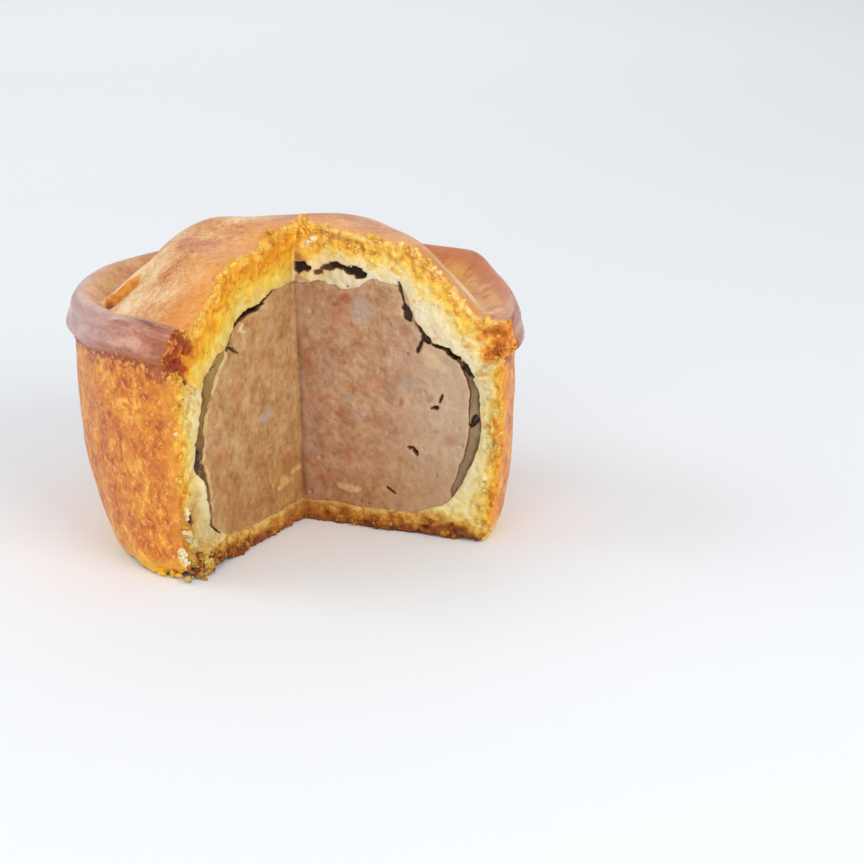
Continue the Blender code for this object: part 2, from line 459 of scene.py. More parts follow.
    def outside(
        self, azimuth: Array, spacings: tuple[float, float, float, float]
    ) -> tuple[Array, Array]:
        """The crust's outside, from the crown over the rim to the middle of the base.

        Args:
            azimuth: (A,) radians.
            spacings: distance between points on the lid, lip, side and base.

        Returns:
            Points (A, N, 2) as radius and height, and (N,) places: 0 to 1 on the lid, 1 to 2 on the
            lip, 2 to 3 on the side and 3 to 4 under the base.
        """
        typical = self._knots(np.array([math.radians(self.typical_azimuth)]))
        parts, places = [], []
        for number, (knots, sample) in enumerate(zip(self._knots(azimuth), typical)):
            stations = even_stations(sample[0], spacings[number])
            stations = stations if number == len(typical) - 1 else stations[:-1]
            parts.append(curve_points(knots, stations))
            places.append(number + stations / (knots.shape[-2] - 1))
        count = round(self.heel_radius / spacings[3])
        share = np.arange(1, count + 1) / count
        heel = self.heel_radius + self.keyed(self.heel_reach, azimuth)
        base = heel[:, None] * (1.0 - share)
        parts.append(np.stack([base, 0 * base], axis=-1))
        places.append(3.0 + share)
        outline = np.concatenate(parts, axis=1)
        outline[:, 0, 0] = 0.0
        return self._mounded(outline, azimuth), np.concatenate(places)

    def _mounded(self, outline: Array, azimuth: Array) -> Array:
        """The outline with the lid's low mounds added, which fade out below the shoulder."""
        radius, height = outline[..., 0], outline[..., 1].copy()
        above_shoulder = np.clip((height - self.rim_top - 2 * MM) / (6 * MM), 0.0, 1.0)
        x, y = radius * np.cos(azimuth)[:, None], radius * np.sin(azimuth)[:, None]
        for degrees, distance, rise, spread in self.lid_mounds:
            turn = math.radians(degrees)
            away = np.hypot(x - distance * MM * math.cos(turn), y - distance * MM * math.sin(turn))
            height += above_shoulder * rise * MM * bell(away, spread * MM)
        return np.stack([radius, height], axis=-1)

    def cavity(self, shares: Array) -> Array:
        """Points (N, 2) on the crust's inside, at shares of its length from crown to base."""
        ceiling, wall = self.lid_top - self.lid_thickness, self.wall_radius - self.wall_thickness
        knots = np.array([
            (0.0, ceiling),
            (0.30 * wall, ceiling - 0.4 * MM),
            (0.58 * wall, ceiling - 2.6 * MM),
            (0.72 * wall, ceiling - 7.8 * MM),
            (0.92 * wall, ceiling - 14.0 * MM),
            (wall, ceiling - 26.0 * MM),
            (0.95 * wall, ceiling - 36.0 * MM),
            (0.82 * wall, self.base_thickness + 3.0 * MM),
            (0.60 * wall, self.base_thickness + 0.2 * MM),
            (0.30 * wall, self.base_thickness),
            (0.0, self.base_thickness),
        ])
        fine, along = arc_lengths(knots, 1200)
        points = curve_points(knots, np.interp(shares * along[-1], along, fine))
        points[(shares <= 0.0) | (shares >= 1.0), 0] = 0.0
        return points

    def inward(self, shares: Array, depth: Amount) -> Array:
        """Points (N, 2) at a depth inside the cavity's outline, measured square to it."""
        near = 2e-3
        before, after = (np.clip(shares + step, 0, 1) for step in (-near, near))
        along = self.cavity(after) - self.cavity(before)
        along /= np.linalg.norm(along, axis=1, keepdims=True)
        square = np.stack([along[:, 1], -along[:, 0]], axis=1)
        moved = self.cavity(shares) + square * np.broadcast_to(depth, len(shares))[:, None]
        moved[(shares <= 0.0) | (shares >= 1.0), 0] = 0.0
        return moved

    def jelly_depth(self, shares: Array, azimuth: float) -> Array:
        """Thickness of the jelly at shares of the cavity's outline."""
        start, end = self.jelly_start, self.jelly_end
        inside = np.clip((shares - start) / (end - start), 0.0, 1.0)
        fullness = 1.0 + 0.2 * math.cos(azimuth - Side.LEFT.azimuth)
        return fullness * self.jelly_thickness * np.sin(np.pi * inside) ** 0.6

    def axis_place(self, lowest: Vector) -> Array:
        """Where the pie's axis stands, from the lowest corner of the crust's box in the frame."""
        azimuth = np.linspace(Side.RIGHT.azimuth, Side.LEFT.azimuth, 800)
        radius = self.outside(azimuth, (2 * MM, 0.2 * MM, 2 * MM, 2 * MM))[0][..., 0].max(axis=1)
        corner = np.array([(radius * np.cos(azimuth)).min(), (radius * np.sin(azimuth)).min()])
        return np.array([lowest.x - corner[0], lowest.y - corner[1], 0.0])


@dataclass(frozen=True)
class Mark:
    """An oval hollow or lump on a cut face. Lengths in millimetres, tilt in degrees."""

    side: Side
    radius: float
    height: float
    half_length: float
    half_width: float
    tilt: float
    depth: float

    def mask(self, flat: Array, waver: Array, blur: float) -> Array:
        """1 inside the oval and 0 outside, with a wavering edge, soft over a share of its size."""
        turn = math.radians(self.tilt)
        x, y = flat[..., 0] / MM - self.radius, flat[..., 1] / MM - self.height
        along = (x * math.cos(turn) + y * math.sin(turn)) / self.half_length
        across = (y * math.cos(turn) - x * math.sin(turn)) / self.half_width
        return smooth_step(1.0 + blur, 1.0 - blur, np.hypot(along, across) + 0.35 * waver)


@dataclass(frozen=True)
class Bit:
    """One chosen crumb on a cut face, in millimetres.

    It has a place there, a size, a distance out of the face, and a depth under the skin and a place
    on the pie that its colour is taken from.
    """

    side: Side
    radius: float
    height: float
    size: float
    stand: float
    depth: float
    place: float = 0.5


def listed(kind: type, side: Side, *rows: tuple[float, ...]) -> tuple:
    """Marks or bits of one side, from rows of their numbers."""
    return tuple(kind(side, *row) for row in rows)


HOLLOWS = (
    *listed(
        Mark, Side.RIGHT,
        # the air slot under the lid
        (1.0, 53.7, 2.3, 1.05, -3, 1.3), (2.6, 53.4, 1.1, 0.90, 0, 1.3),
        (4.6, 52.9, 1.2, 0.70, 24, 0.50), (6.4, 53.9, 1.7, 0.60, 10, 0.55),
        (8.9, 54.4, 1.7, 0.62, -6, 1.2), (12.0, 53.7, 1.9, 0.90, -8, 1.3),
        (13.4, 53.1, 1.3, 0.85, -16, 1.3),
        # between crust and filling, right of the wedge
        (22.4, 49.8, 2.1, 0.34, -70, 0.6), (23.7, 46.3, 2.2, 1.05, -62, 1.0),
        (26.3, 43.3, 2.2, 0.42, -52, 0.8), (27.6, 41.2, 1.3, 0.80, -40, 1.1),
        (26.5, 40.0, 1.7, 0.42, 68, 0.8), (30.6, 39.9, 2.2, 0.42, -12, 0.8),
        (33.4, 38.4, 1.6, 0.62, -34, 1.1), (36.2, 35.8, 1.5, 0.62, -50, 1.0),
        (37.5, 24.8, 1.5, 0.60, 62, 1.2),
        # in the filling, right of the wedge
        (30.9, 29.3, 1.0, 0.26, 66, 1.0), (29.4, 27.2, 0.9, 0.34, 20, 1.4),
        (25.4, 17.3, 1.0, 0.40, -60, 1.6), (24.3, 18.3, 0.6, 0.24, 10, 1.0),
        (19.9, 8.7, 1.3, 0.22, -30, 0.9),
        # inside the right rim
        (39.6, 36.4, 1.6, 0.40, 40, 0.22),
    ),
    *listed(
        Mark, Side.LEFT,
        # between crust and filling, left of the wedge
        (12.4, 49.8, 2.6, 0.24, -18, 1.4), (16.6, 48.4, 2.4, 0.46, -6, 2.2),
        (19.9, 48.0, 2.0, 0.60, -14, 2.3), (22.9, 47.1, 1.4, 0.50, -25, 2.0),
        (25.0, 45.0, 2.3, 0.26, -56, 1.5), (26.4, 43.2, 1.0, 0.52, -40, 2.0),
        (24.5, 42.0, 1.8, 0.26, 30, 1.5), (32.4, 39.7, 2.2, 0.20, -14, 1.1),
        (34.2, 38.7, 0.7, 0.40, -40, 1.7), (36.8, 22.8, 2.5, 0.95, 82, 1.1),
        (35.0, 15.6, 0.9, 0.60, 80, 1.4), (34.0, 10.8, 1.6, 0.30, 70, 1.4),
        (32.4, 7.9, 2.4, 0.22, 42, 1.3),
        # torn pastry under the rim and at the foot of the left cut
        (41.6, 39.9, 0.9, 0.35, 30, 1.0), (40.8, 12.6, 1.3, 0.60, 60, 1.6),
        (40.1, 10.8, 1.3, 0.26, 86, 0.9), (34.0, 2.8, 1.0, 0.70, 60, 1.6),
    ),
)

# red and grey spots in the filling, and brown ones in the pastry, which are browned crumb except
# where noted as painted shade; their depth is their strength
RED_SPOTS = (
    *listed(
        Mark, Side.RIGHT,
        (10.5, 48.1, 0.9, 0.8, 0, 0.8), (2.7, 43.8, 1.1, 0.7, 20, 0.5),
        (1.9, 34.3, 0.8, 1.0, 0, 0.5), (5.1, 26.8, 1.0, 0.8, 30, 0.6),
        (8.4, 23.6, 1.0, 0.7, 0, 0.5), (4.1, 9.2, 1.0, 0.7, 20, 0.7),
        (22.4, 27.9, 1.2, 0.6, 80, 0.8), (23.1, 42.7, 1.0, 1.0, 0, 0.5),
        (29.8, 22.3, 0.7, 0.5, 0, 0.6), (33.0, 20.6, 1.6, 0.9, 0, 0.4),
        (28.5, 29.2, 0.8, 0.8, 0, 0.5),
    ),
    *listed(
        Mark, Side.LEFT,
        (5.2, 14.8, 1.4, 1.0, 90, 0.6),
    ),
)
GREY_SPOTS = (
    *listed(
        Mark, Side.RIGHT,
        (13.8, 46.3, 2.2, 2.6, 0, 0.5), (0.9, 28.7, 1.4, 0.7, 90, 0.5),
        (6.5, 31.0, 1.2, 0.6, 0, 0.5), (1.8, 15.2, 2.0, 0.9, 0, 0.5),
        (10.9, 27.2, 1.6, 0.8, 20, 0.4), (23.1, 31.7, 1.2, 1.0, 0, 0.6),
    ),
    *listed(
        Mark, Side.LEFT,
        (13.5, 25.6, 2.2, 1.6, 0, 0.5), (11.0, 44.0, 1.4, 0.9, 0, 0.4),
    ),
)
BROWNED_AND_SHADED_SPOTS = (
    *listed(
        Mark, Side.RIGHT,
        # the first is painted shade over the slot's left end
        (1.0, 55.5, 1.9, 1.0, -10, 0.85), (0.9, 51.2, 1.4, 0.8, 0, 0.6),
        # scorched crumb along the lid's right edge and over the slot's left end
        (7.0, 61.0, 2.2, 0.6, -16, 0.55), (10.6, 60.0, 2.2, 0.6, -22, 0.55),
        (13.4, 58.9, 1.4, 0.7, -34, 0.7), (17.0, 57.6, 1.2, 0.6, -30, 0.4),
        (21.0, 57.0, 1.8, 0.6, -28, 0.3),
    ),
    *listed(
        Mark, Side.LEFT,
        (36.8, 1.6, 4.4, 1.3, 10, 0.5), (4.6, 57.4, 1.6, 0.35, 0, 0.3),
        # the first is painted shade in the groove beside the standing sheet of pastry
        (39.5, 14.4, 4.0, 1.0, 84, 0.35), (6.0, 60.4, 1.8, 0.6, -20, 0.4),
    ),
)

LUMPS = (
    *listed(
        Mark, Side.RIGHT,
        (10.6, 8.1, 2.8, 0.7, -6, 0.25), (29.2, 36.9, 3.0, 1.3, -34, 0.12),
        (2.6, 58.9, 2.0, 0.7, 38, 0.55),
    ),
    *listed(
        Mark, Side.LEFT,
        (22.0, 45.7, 1.1, 0.4, -54, 0.5), (21.2, 44.9, 0.7, 0.35, 12, 0.4),
        (7.0, 10.2, 2.8, 0.9, 12, 0.25), (2.6, 11.4, 1.8, 0.6, -10, 0.2),
        (8.6, 9.6, 1.4, 0.7, 0, 0.25), (40.6, 7.6, 2.4, 1.5, 60, 0.5),
        # a sheet of pastry that stands along the lower left border
        (36.3, 15.0, 5.4, 0.65, 79, 0.6),
    ),
)


@dataclass(frozen=True)
class CutRelief:
    """How far the surface of a cut face stands out of, or lies behind, the plane of the knife."""

    noise: Noise = Noise(11)
    edge_sway: float = 0.24 * MM
    # (share of the cavity's outline, how far the filling reaches beyond it there), for each cut
    reach_right: Keys = (
        (0.0, 0.0), (0.012, -0.5), (0.032, 0.1), (0.046, 0.7), (0.066, -0.3), (0.108, -0.5),
        (0.126, 0.2), (0.139, 1.7), (0.158, 2.8), (0.167, 2.4), (0.186, 2.7), (0.201, 2.9),
        (0.212, 2.2), (0.237, 0.3), (0.263, -0.6), (0.307, -1.1), (0.347, -0.3), (0.408, 0.5),
        (0.451, 1.1), (0.52, 0.5), (0.6, 0.0),
    )
    reach_left: Keys = (
        (0.0, 0.0), (0.06, 0.1), (0.09, 0.2), (0.115, -0.4), (0.142, -1.0), (0.18, -0.7),
        (0.211, -0.1), (0.26, -0.3), (0.281, -0.2), (0.316, 0.9), (0.354, 0.3), (0.366, 0.1),
        (0.383, -0.8), (0.421, -1.4), (0.494, -1.3), (0.517, -0.8), (0.535, -0.2), (0.55, -1.1),
        (0.566, -1.6), (0.588, -1.6), (0.61, -1.2), (0.63, -0.5), (0.65, 0.1), (0.671, 0.4),
        (0.698, 0.2), (0.75, 0.0),
    )
    # (share of the cavity's outline, how thick the jelly shows there against its usual thickness)
    swell_right: Keys = (
        (0.26, 0.3), (0.34, 0.26), (0.38, 0.38), (0.42, 0.6), (0.46, 0.85), (0.5, 1.0),
        (0.7, 1.0),
    )
    swell_left: Keys = (
        (0.26, 1.2), (0.34, 1.6), (0.36, 1.6), (0.41, 0.9), (0.44, 0.74), (0.47, 0.7),
        (0.505, 0.76), (0.535, 1.0), (0.577, 0.68), (0.605, 0.88), (0.645, 1.05), (0.7, 0.8),
    )
    # (height, how far the corner between the cuts leans there towards an azimuth)
    lean: Keys = ((0, 0.0), (12, 0.1), (28, 0.3), (42, 0.8), (53, 1.2), (57, 1.0), (61, 0.0))
    lean_azimuth: float = math.radians(160.0)
    lean_width: float = 5.0 * MM
    # depths of a hollow between which its shade deepens, and the height at which a lump is all pale
    shaded: tuple[float, float] = (0.08 * MM, 0.7 * MM)
    pale_height: float = 0.3 * MM

    def marks(
        self,
        marks: tuple[Mark, ...],
        side: Side,
        flat: Array,
        points: Array,
        blur: float = 0.22,
    ) -> Array:
        """Strength in metres of the given marks of one side at section points (..., 2).

        Args:
            marks: all the marks of a kind.
            side: the cut face whose marks count.
            flat: (..., 2) section points.
            points: (..., 3) the same points in space.
            blur: how soft the marks' edges are, as a share of their size.

        Returns:
            The strongest mark at each point, and none at the axis.
        """
        waver = 1.3 * self.noise.layers(points, 1.5 * MM, 3, channel=3)
        here = [mark for mark in marks if mark.side is side]
        depths = [mark.depth * MM * mark.mask(flat, waver, blur) for mark in here]
        return np.max(depths, axis=0) * smooth_step(0.0, 0.35 * MM, flat[..., 0])

    def hollows(self, side: Side, flat: Array, points: Array) -> tuple[Array, Array]:
        """Depth of the hollows at section points, and how dark the painted shade in them is."""
        depth = self.marks(HOLLOWS, side, flat, points)
        return depth, smooth_step(*self.shaded, depth)

    def lumps(self, side: Side, flat: Array, points: Array) -> tuple[Array, Array]:
        """Height of the lumps at section points, and how pale they look."""
        height = self.marks(LUMPS, side, flat, points, 0.45)
        return height, np.clip(height / self.pale_height, 0.0, 1.0)

    def wave(self, points: Array) -> Array:
        """The slow unevenness of the knife's path."""
        return 0.30 * MM * self.noise.layers(points, 9.0 * MM, 2, channel=4)

    def sway(self, side: Side, shares: Array) -> Array:
        """How far the border between crust and filling strays outwards along a cut."""
        cut = np.full_like(shares, side.value * MM)
        place = np.stack([shares * 120 * MM, cut, 0 * shares], axis=-1)
        stray = self.edge_sway * self.noise.layers(place, 2.2 * MM, 3, channel=5)
        stray = stray * smooth_step(0.0, 0.03, shares) * smooth_step(1.0, 0.97, shares)
        keys = self.reach_right if side is Side.RIGHT else self.reach_left
        return stray + MM * np.interp(shares, *np.array(keys).T)

    def swell(self, side: Side, shares: Array) -> Array:
        """How thick the jelly shows at a cut, against its thickness inside the pie."""
        keys = self.swell_right if side is Side.RIGHT else self.swell_left
        return np.interp(shares, *np.array(keys).T)

    def placed(self, side: Side, flat: Array, out: Array) -> Array:
        """Puts section points (..., 2) on a cut face, moved out of its plane by an amount.

        Near the axis they follow the corner between the cuts, which leans a little to one side.
        """
        lean = MM * np.interp(flat[..., 1] / MM, *np.array(self.lean).T)
        aside = lean * bell(flat[..., 0], self.lean_width)
        leaning = aside[..., None] * (math.cos(self.lean_azimuth), math.sin(self.lean_azimuth), 0.0)
        plane = flat[..., :1] * side.radial + flat[..., 1:] * UP
        return plane + side.normal * out[..., None] + leaning


def distance_to(flat: Array, line: Array) -> Array:
    """Distance from each section point (H, W, 2) to the nearest of a line's points (M, 2)."""
    rows = [np.linalg.norm(row[:, None] - line[None], axis=-1).min(axis=1) for row in flat]
    return np.stack(rows)


def swung(flat: Array, azimuth: float) -> Array:
    """Section points (..., 2) turned round the axis to an azimuth."""
    radius, height = flat[..., 0], flat[..., 1]
    return np.stack([radius * math.cos(azimuth), radius * math.sin(azimuth), height], axis=-1)


def sweep(faces: dict[Side, Patch], rows: int, section: Callable[[float], Array]) -> Patch:
    """The coarse hidden surface that joins the last rows of the two cut faces round the pie.

    Args:
        faces: the cut faces. The right one's last values are kept all the way round.
        rows: number of sections between the faces.
        section: gives section points (N, 2) for an azimuth.

    Returns:
        The surface, with as many points to a row as the faces have.
    """
    turns = np.linspace(Side.RIGHT.azimuth, Side.LEFT.azimuth, rows + 2)[1:-1]
    first, last = faces[Side.RIGHT].points[-1], faces[Side.LEFT].points[-1]
    points = np.stack([first, *(swung(section(turn), turn) for turn in turns), last])
    points[:, [0, -1]] = first[[0, -1]]
    values = {
        key: np.broadcast_to(value[-1], (len(points), *value.shape[1:])).copy()
        for key, value in faces[Side.RIGHT].values.items()
    }
    return Patch(points, values)


@dataclass
class Layer:
    """What every layer is built from: sections, relief of the cuts, place of the axis."""

    shape: PieShape
    relief: CutRelief
    axis: Array


# values for the pastry's finish where nothing else is said
USUAL = {"inner": 9.0, "tone": 0.5}
USUAL |= dict.fromkeys(("shade", "near", "fold", "lining", "brown"), 0.0)


class Skin:
    """The crust's smooth outside, and what its relief is measured along.

    Rows are sections at azimuths from the right cut to the left one. Distances from the cuts are
    measured round the axis.
    """

    def __init__(self, azimuth: Array, flat: Array, place: Array) -> None:
        """Takes (A,) azimuths, (A, N, 2) section points and (N,) places round the outside."""
        self.flat = flat
        self.radius = flat[..., 0]
        self.place = np.broadcast_to(place, self.radius.shape)
        self.turn = azimuth[:, None]
        self.radial = np.stack([np.cos(self.turn), np.sin(self.turn), 0 * self.turn], axis=-1)
        self.sideways = np.stack([-np.sin(self.turn), np.cos(self.turn), 0 * self.turn], axis=-1)
        self.points = self.standing(flat)
        self.from_right = (azimuth - azimuth[0])[:, None] * self.radius
        self.from_left = (azimuth[-1] - azimuth)[:, None] * self.radius
        self.from_cut = np.minimum(self.from_right, self.from_left)
        self.shown = smooth_step(3.0, 2.93, self.place)  # 1 above the base

    def standing(self, flat: Array) -> Array:
        """Section points (A, N, 2) put at their azimuths."""
        return flat[..., :1] * self.radial + flat[..., 1:] * UP

    def along(self, radius: float) -> Array:
        """Lengths round the pie at a radius and down the section, and no depth."""
        run = np.diff(self.flat, axis=1, prepend=self.flat[:, :1])
        run = np.cumsum(np.linalg.norm(run, axis=-1), axis=1)
        return np.stack([self.turn * radius + 0 * run, run, 0 * run], axis=-1)

    def square(self) -> Array:
        """Unit vectors (A, N, 2) out of the sections, straight up at the crown."""
        tangent = np.gradient(self.flat, axis=1)
        tangent /= np.linalg.norm(tangent, axis=-1, keepdims=True) + 1e-12  # never by nothing
        square = np.stack([-tangent[..., 1], tangent[..., 0]], axis=-1)
        square[:, 0] = (0.0, 1.0)
        return square


@dataclass
class Crust(Layer):
    """The pastry: a shell swept round the axis, with crumbly cut faces and a glazed outside."""

    noise: Noise = Noise(3)
    lid_step: float = 0.37 * MM
    lip_step: float = 0.28 * MM
    side_step: float = 0.38 * MM
    base_step: float = 0.62 * MM
    cut_step: float = 0.34 * MM
    far_step: float = 1.75 * MM
    # rungs of a cut face, how they crowd towards the skin, and sections of the hidden inside
    layers: int = 43
    crowding: float = 0.9
    inner_rows: int = 7
    # along the cuts: stray of the edge, depth of the chips, width of bared crumb (more if jagged)
    ragged: float = 0.50 * MM
    chip: float = 0.45 * MM
    bared: float = 0.30 * MM
    bared_more: float = 0.7 * MM
    # a fold of the lid by the rim and the pocket along it: the (degrees, millimetres) of their ends
    pocket: Line = ((175.6, 38.4), (176.4, 34.0))
    pocket_width: float = 1.5 * MM
    pocket_depth: float = 2.4 * MM
    lining: Line = ((174.4, 38.4), (175.2, 32.4))
    lining_width: float = 1.45 * MM
    fold: Line = ((171.6, 38.2), (174.4, 24.0))
    fold_width: float = 1.5 * MM
    fold_height: float = 1.6 * MM
    # torn skin at the crown, by the left cut: its reach, and the radii of its start, middle and end
    torn_crown: tuple[float, float, float, float] = (3.0 * MM, 4.5 * MM, 9.5 * MM, 14.0 * MM)
    foot_gap: float = 1.0 * MM
    # (azimuth, distance from the axis, rise, spread) of the lid's own small swells and dents
    swells: tuple[tuple[float, float, float, float], ...] = (
        (152, 17.5, 0.9, 5.0), (0, 0.0, -1.2, 3.4),
    )
    # (azimuth, rise, spread in degrees) of the rim's own rise on the far right
    rim_swell: tuple[float, float, float] = (14.0, 1.2, 15.0)
    edges: dict[Side, Patch] = field(default_factory=dict)

    def azimuths(self) -> Array:
        """Azimuths of the rows: close together at the cuts and wider apart half way round."""
        first, last, radius = Side.RIGHT.azimuth, Side.LEFT.azimuth, self.shape.rim_radius
        fine = np.linspace(first, last, 6001)  # much closer than the rows will be
        from_cut = np.minimum(fine - first, last - fine) * radius
        from_fold = np.abs(fine - math.radians(self.pocket[0][0])) * radius
        from_fine = np.minimum(from_cut, 1.2 * MM + 0.65 * from_fold)
        widening = smooth_step(0.5 * MM, 11 * MM, from_fine)
        step = self.cut_step + (self.far_step - self.cut_step) * widening
        counted = np.concatenate([[0.0], np.cumsum(np.diff(fine) * radius / step[:-1])])
        return np.interp(np.linspace(0.0, counted[-1], int(counted[-1]) + 1), counted, fine)

    @staticmethod
    def _beside(points: Array, line: Line, width: float, fading: float = 0.0) -> Array:
        """1 on a line across the lid, with a bell curve to each side and fading towards its end."""
        start, end = (
            swung(np.array([distance * MM, 0.0]), math.radians(turn))[:2] for turn, distance in line
        )
        run = end - start
        share = np.clip(((points[..., :2] - start) @ run) / (run @ run), 0.0, 1.0)
        away = np.linalg.norm(points[..., :2] - start - share[..., None] * run, axis=-1)
        strength = 1.0 - fading * smooth_step(0.25, 1.0, share)
        return strength * bell(away, width) * smooth_step(43 * MM, 45 * MM, points[..., 2])

    def _skin_relief(self, points: Array, along: Array, place: Array) -> Array:
        """Height of the baked skin's relief: dents, blisters, pits, and wrinkles along the rim."""
        rim, wall = window(place, 1.15, 1.3, 1.85, 1.95), window(place, 1.9, 2.05, 2.96, 3.02)
        lid = smooth_step(1.1, 0.95, place)
        dents = 0.28 * self.noise.layers(points, 12 * MM, 2, 1) * (wall + 0.8 * lid)
        blisters = 0.09 * self.noise.layers(points, 2.8 * MM, 2, 2) * (wall + 0.4 * lid)
        stretched = along / np.array([9.0, 1.0, 1.0])
        wrinkles = 0.075 * self.noise.layers(stretched, 1.6 * MM, 2, 3)
        wrinkles += 0.14 * self.noise.value(points, 9 * MM, 4)
        pits = 0.14 * smooth_step(0.40, 0.10, self.noise.grains(points, 3.6 * MM, 2)[0]) * wall
        frill = 0.55 * self.noise.layers(points, 1.5 * MM, 3, 5) * bell(place - 1.97, 0.045)
        return MM * (dents + blisters + wrinkles * rim - pits + frill - 0.26)

    def _broken(self, skin: Skin) -> tuple[Array, Array, Array]:
        """How the skin breaks off along the cuts.

        Args:
            skin: the smooth outside.

        Returns:
            How jagged it is, how wide the crumb is bared, and 1 where it is bare.
        """
        jagged = np.abs(self.noise.layers(skin.points, 1.5 * MM, 2, 6))
        jagged = jagged * (0.7 + 0.5 * window(skin.place, 1.2, 1.4, 1.85, 2.0))
        tear, start, middle, end = self.torn_crown
        torn = tear * smooth_step(start, middle, skin.radius)
        torn *= smooth_step(end, middle, skin.radius) * (skin.from_left < skin.from_right)
        bare = self.bared + self.bared_more * jagged + torn * (0.6 + 0.8 * jagged)
        return jagged, bare, np.exp(-((skin.from_cut / bare) ** 4)) * skin.shown

    def _foot(self, skin: Skin) -> Array:
        """How far the foot's edge is broken upwards: teeth, and bites near the left cut."""
        ground = skin.points * (1.0, 1.0, 0.0)
        bites = smooth_step(0.42, 0.20, self.noise.grains(ground, 3.0 * MM, 10)[0])
        teeth = 0.25 + 0.7 * np.abs(self.noise.layers(ground, 1.2 * MM, 2, 10))
        teeth += 1.5 * bites * smooth_step(20 * MM, 10 * MM, skin.from_left)
        gap = self.foot_gap * smooth_step(4 * MM, 1 * MM, skin.from_left)
        return window(skin.place, 2.86, 3.0, 3.15, 3.45) * (gap + teeth * MM)

    def _swollen(self, skin: Skin, moved: Array) -> Array:
        """Section points with the lid's small swells and the rim's rise added."""
        for degrees, distance, rise, spread in self.swells:
            centre = swung(np.array([distance * MM, 0.0]), math.radians(degrees))
            away = np.linalg.norm((skin.points - centre)[..., :2], axis=-1)
            moved[..., 1] += rise * MM * bell(away, spread * MM) * smooth_step(1.1, 1.0, skin.place)
        centre, rise, spread = self.rim_swell
        swell = rise * MM * bell(np.degrees(skin.turn) - centre, spread)
        swell = swell * smooth_step(1.05, 1.3, skin.place) * smooth_step(1.95, 1.85, skin.place)
        return moved + swell[..., None] * (0.5, 1.0)

    def _lined(self, skin: Skin, points: Array) -> Array:
        """How golden the pocket beside the fold is at finished points; over 1 towards its outer
        end, which takes painted shade.
        """
        lining = self._beside(points, self.lining, self.lining_width)
        taper = 0.5 + 0.5 * smooth_step(32 * MM, 35 * MM, skin.radius)
        lining = lining * taper * smooth_step(39.4 * MM, 38.6 * MM, skin.radius)
        return lining * (1.0 + smooth_step(36.6 * MM, 38.4 * MM, skin.radius))

    def _outer(self, azimuth: Array) -> tuple[Patch, Array]:
        """The outside of the shell: each row is a section, and rows near a cut are broken unevenly.

        Args:
            azimuth: (A,) radians of the sections.

        Returns:
            The surface, and its section points (A, N, 2).
        """
        spacings = self.lid_step, self.lip_step, self.side_step, self.base_step
        skin = Skin(azimuth, *self.shape.outside(azimuth, spacings))
        along = skin.along(self.shape.rim_radius)
        jagged, bare, broken = self._broken(skin)
        height = self._skin_relief(skin.points, along, skin.place)
        height -= self.chip * (jagged + 0.8 * (bare > MM)) * broken
        moved = skin.flat + skin.square() * (height * skin.shown)[..., None]
        pocket = self._beside(skin.points, self.pocket, self.pocket_width)
        fold = self._beside(skin.points, self.fold, self.fold_width, 1.0)
        moved[..., 1] += self.fold_height * fold - self.pocket_depth * pocket
        moved = self._swollen(skin, moved)
        moved[..., 1] = np.maximum(moved[..., 1] + self._foot(skin), 0.0)
        moved[:, [0, -1], 0] = 0.0
        shift = self._stray(skin.points, skin.radius) * smooth_step(5 * MM, 0.0, skin.from_cut)
        shift = shift * np.where(skin.from_right < skin.from_left, -1.0, 1.0)
        points = skin.standing(moved) + skin.sideways * shift[..., None]
        values = self._values(along, skin.place, broken, 1.2 * MM * jagged * broken)
        near = np.minimum(skin.from_cut / MM, 30.0)
        values |= {"near": near, "fold": fold, "lining": self._lined(skin, points)}
        return Patch(points, values), moved

    def _stray(self, points: Array, radius: Array) -> Array:
        """How far the broken edge of the skin strays out of the knife's plane."""
        fine = 0.35 * self.noise.value(points, 0.9 * MM, 9)
        stray = 0.65 * self.noise.layers(points, 2.8 * MM, 3, 7) + fine - 0.25
        height = points[..., 2]
        rim = smooth_step(40.5 * MM, 42.5 * MM, radius) * smooth_step(40 * MM, 42 * MM, height)
        return self.ragged * (1.0 + 0.9 * rim) * stray * smooth_step(0.0, 3 * MM, radius)

    @staticmethod
    def _values(along: Array, place: Array, cut: Array, depth: Array) -> dict[str, Array]:
        """Values for the finish.

        Args:
            along: place measured along the rim, along the section, and into the pastry.
            place: 0 to 4 round the outside: lid, lip, side and base.
            cut: 1 where the crumb is bare.
            depth: depth under the skin in metres.

        Returns:
            The values by name, with the rest at their usual amounts.
        """
        values = {name: np.full(place.shape, amount) for name, amount in USUAL.items()}
        return values | {"along": along, "place": place.copy(), "cut": cut, "depth": depth / MM}

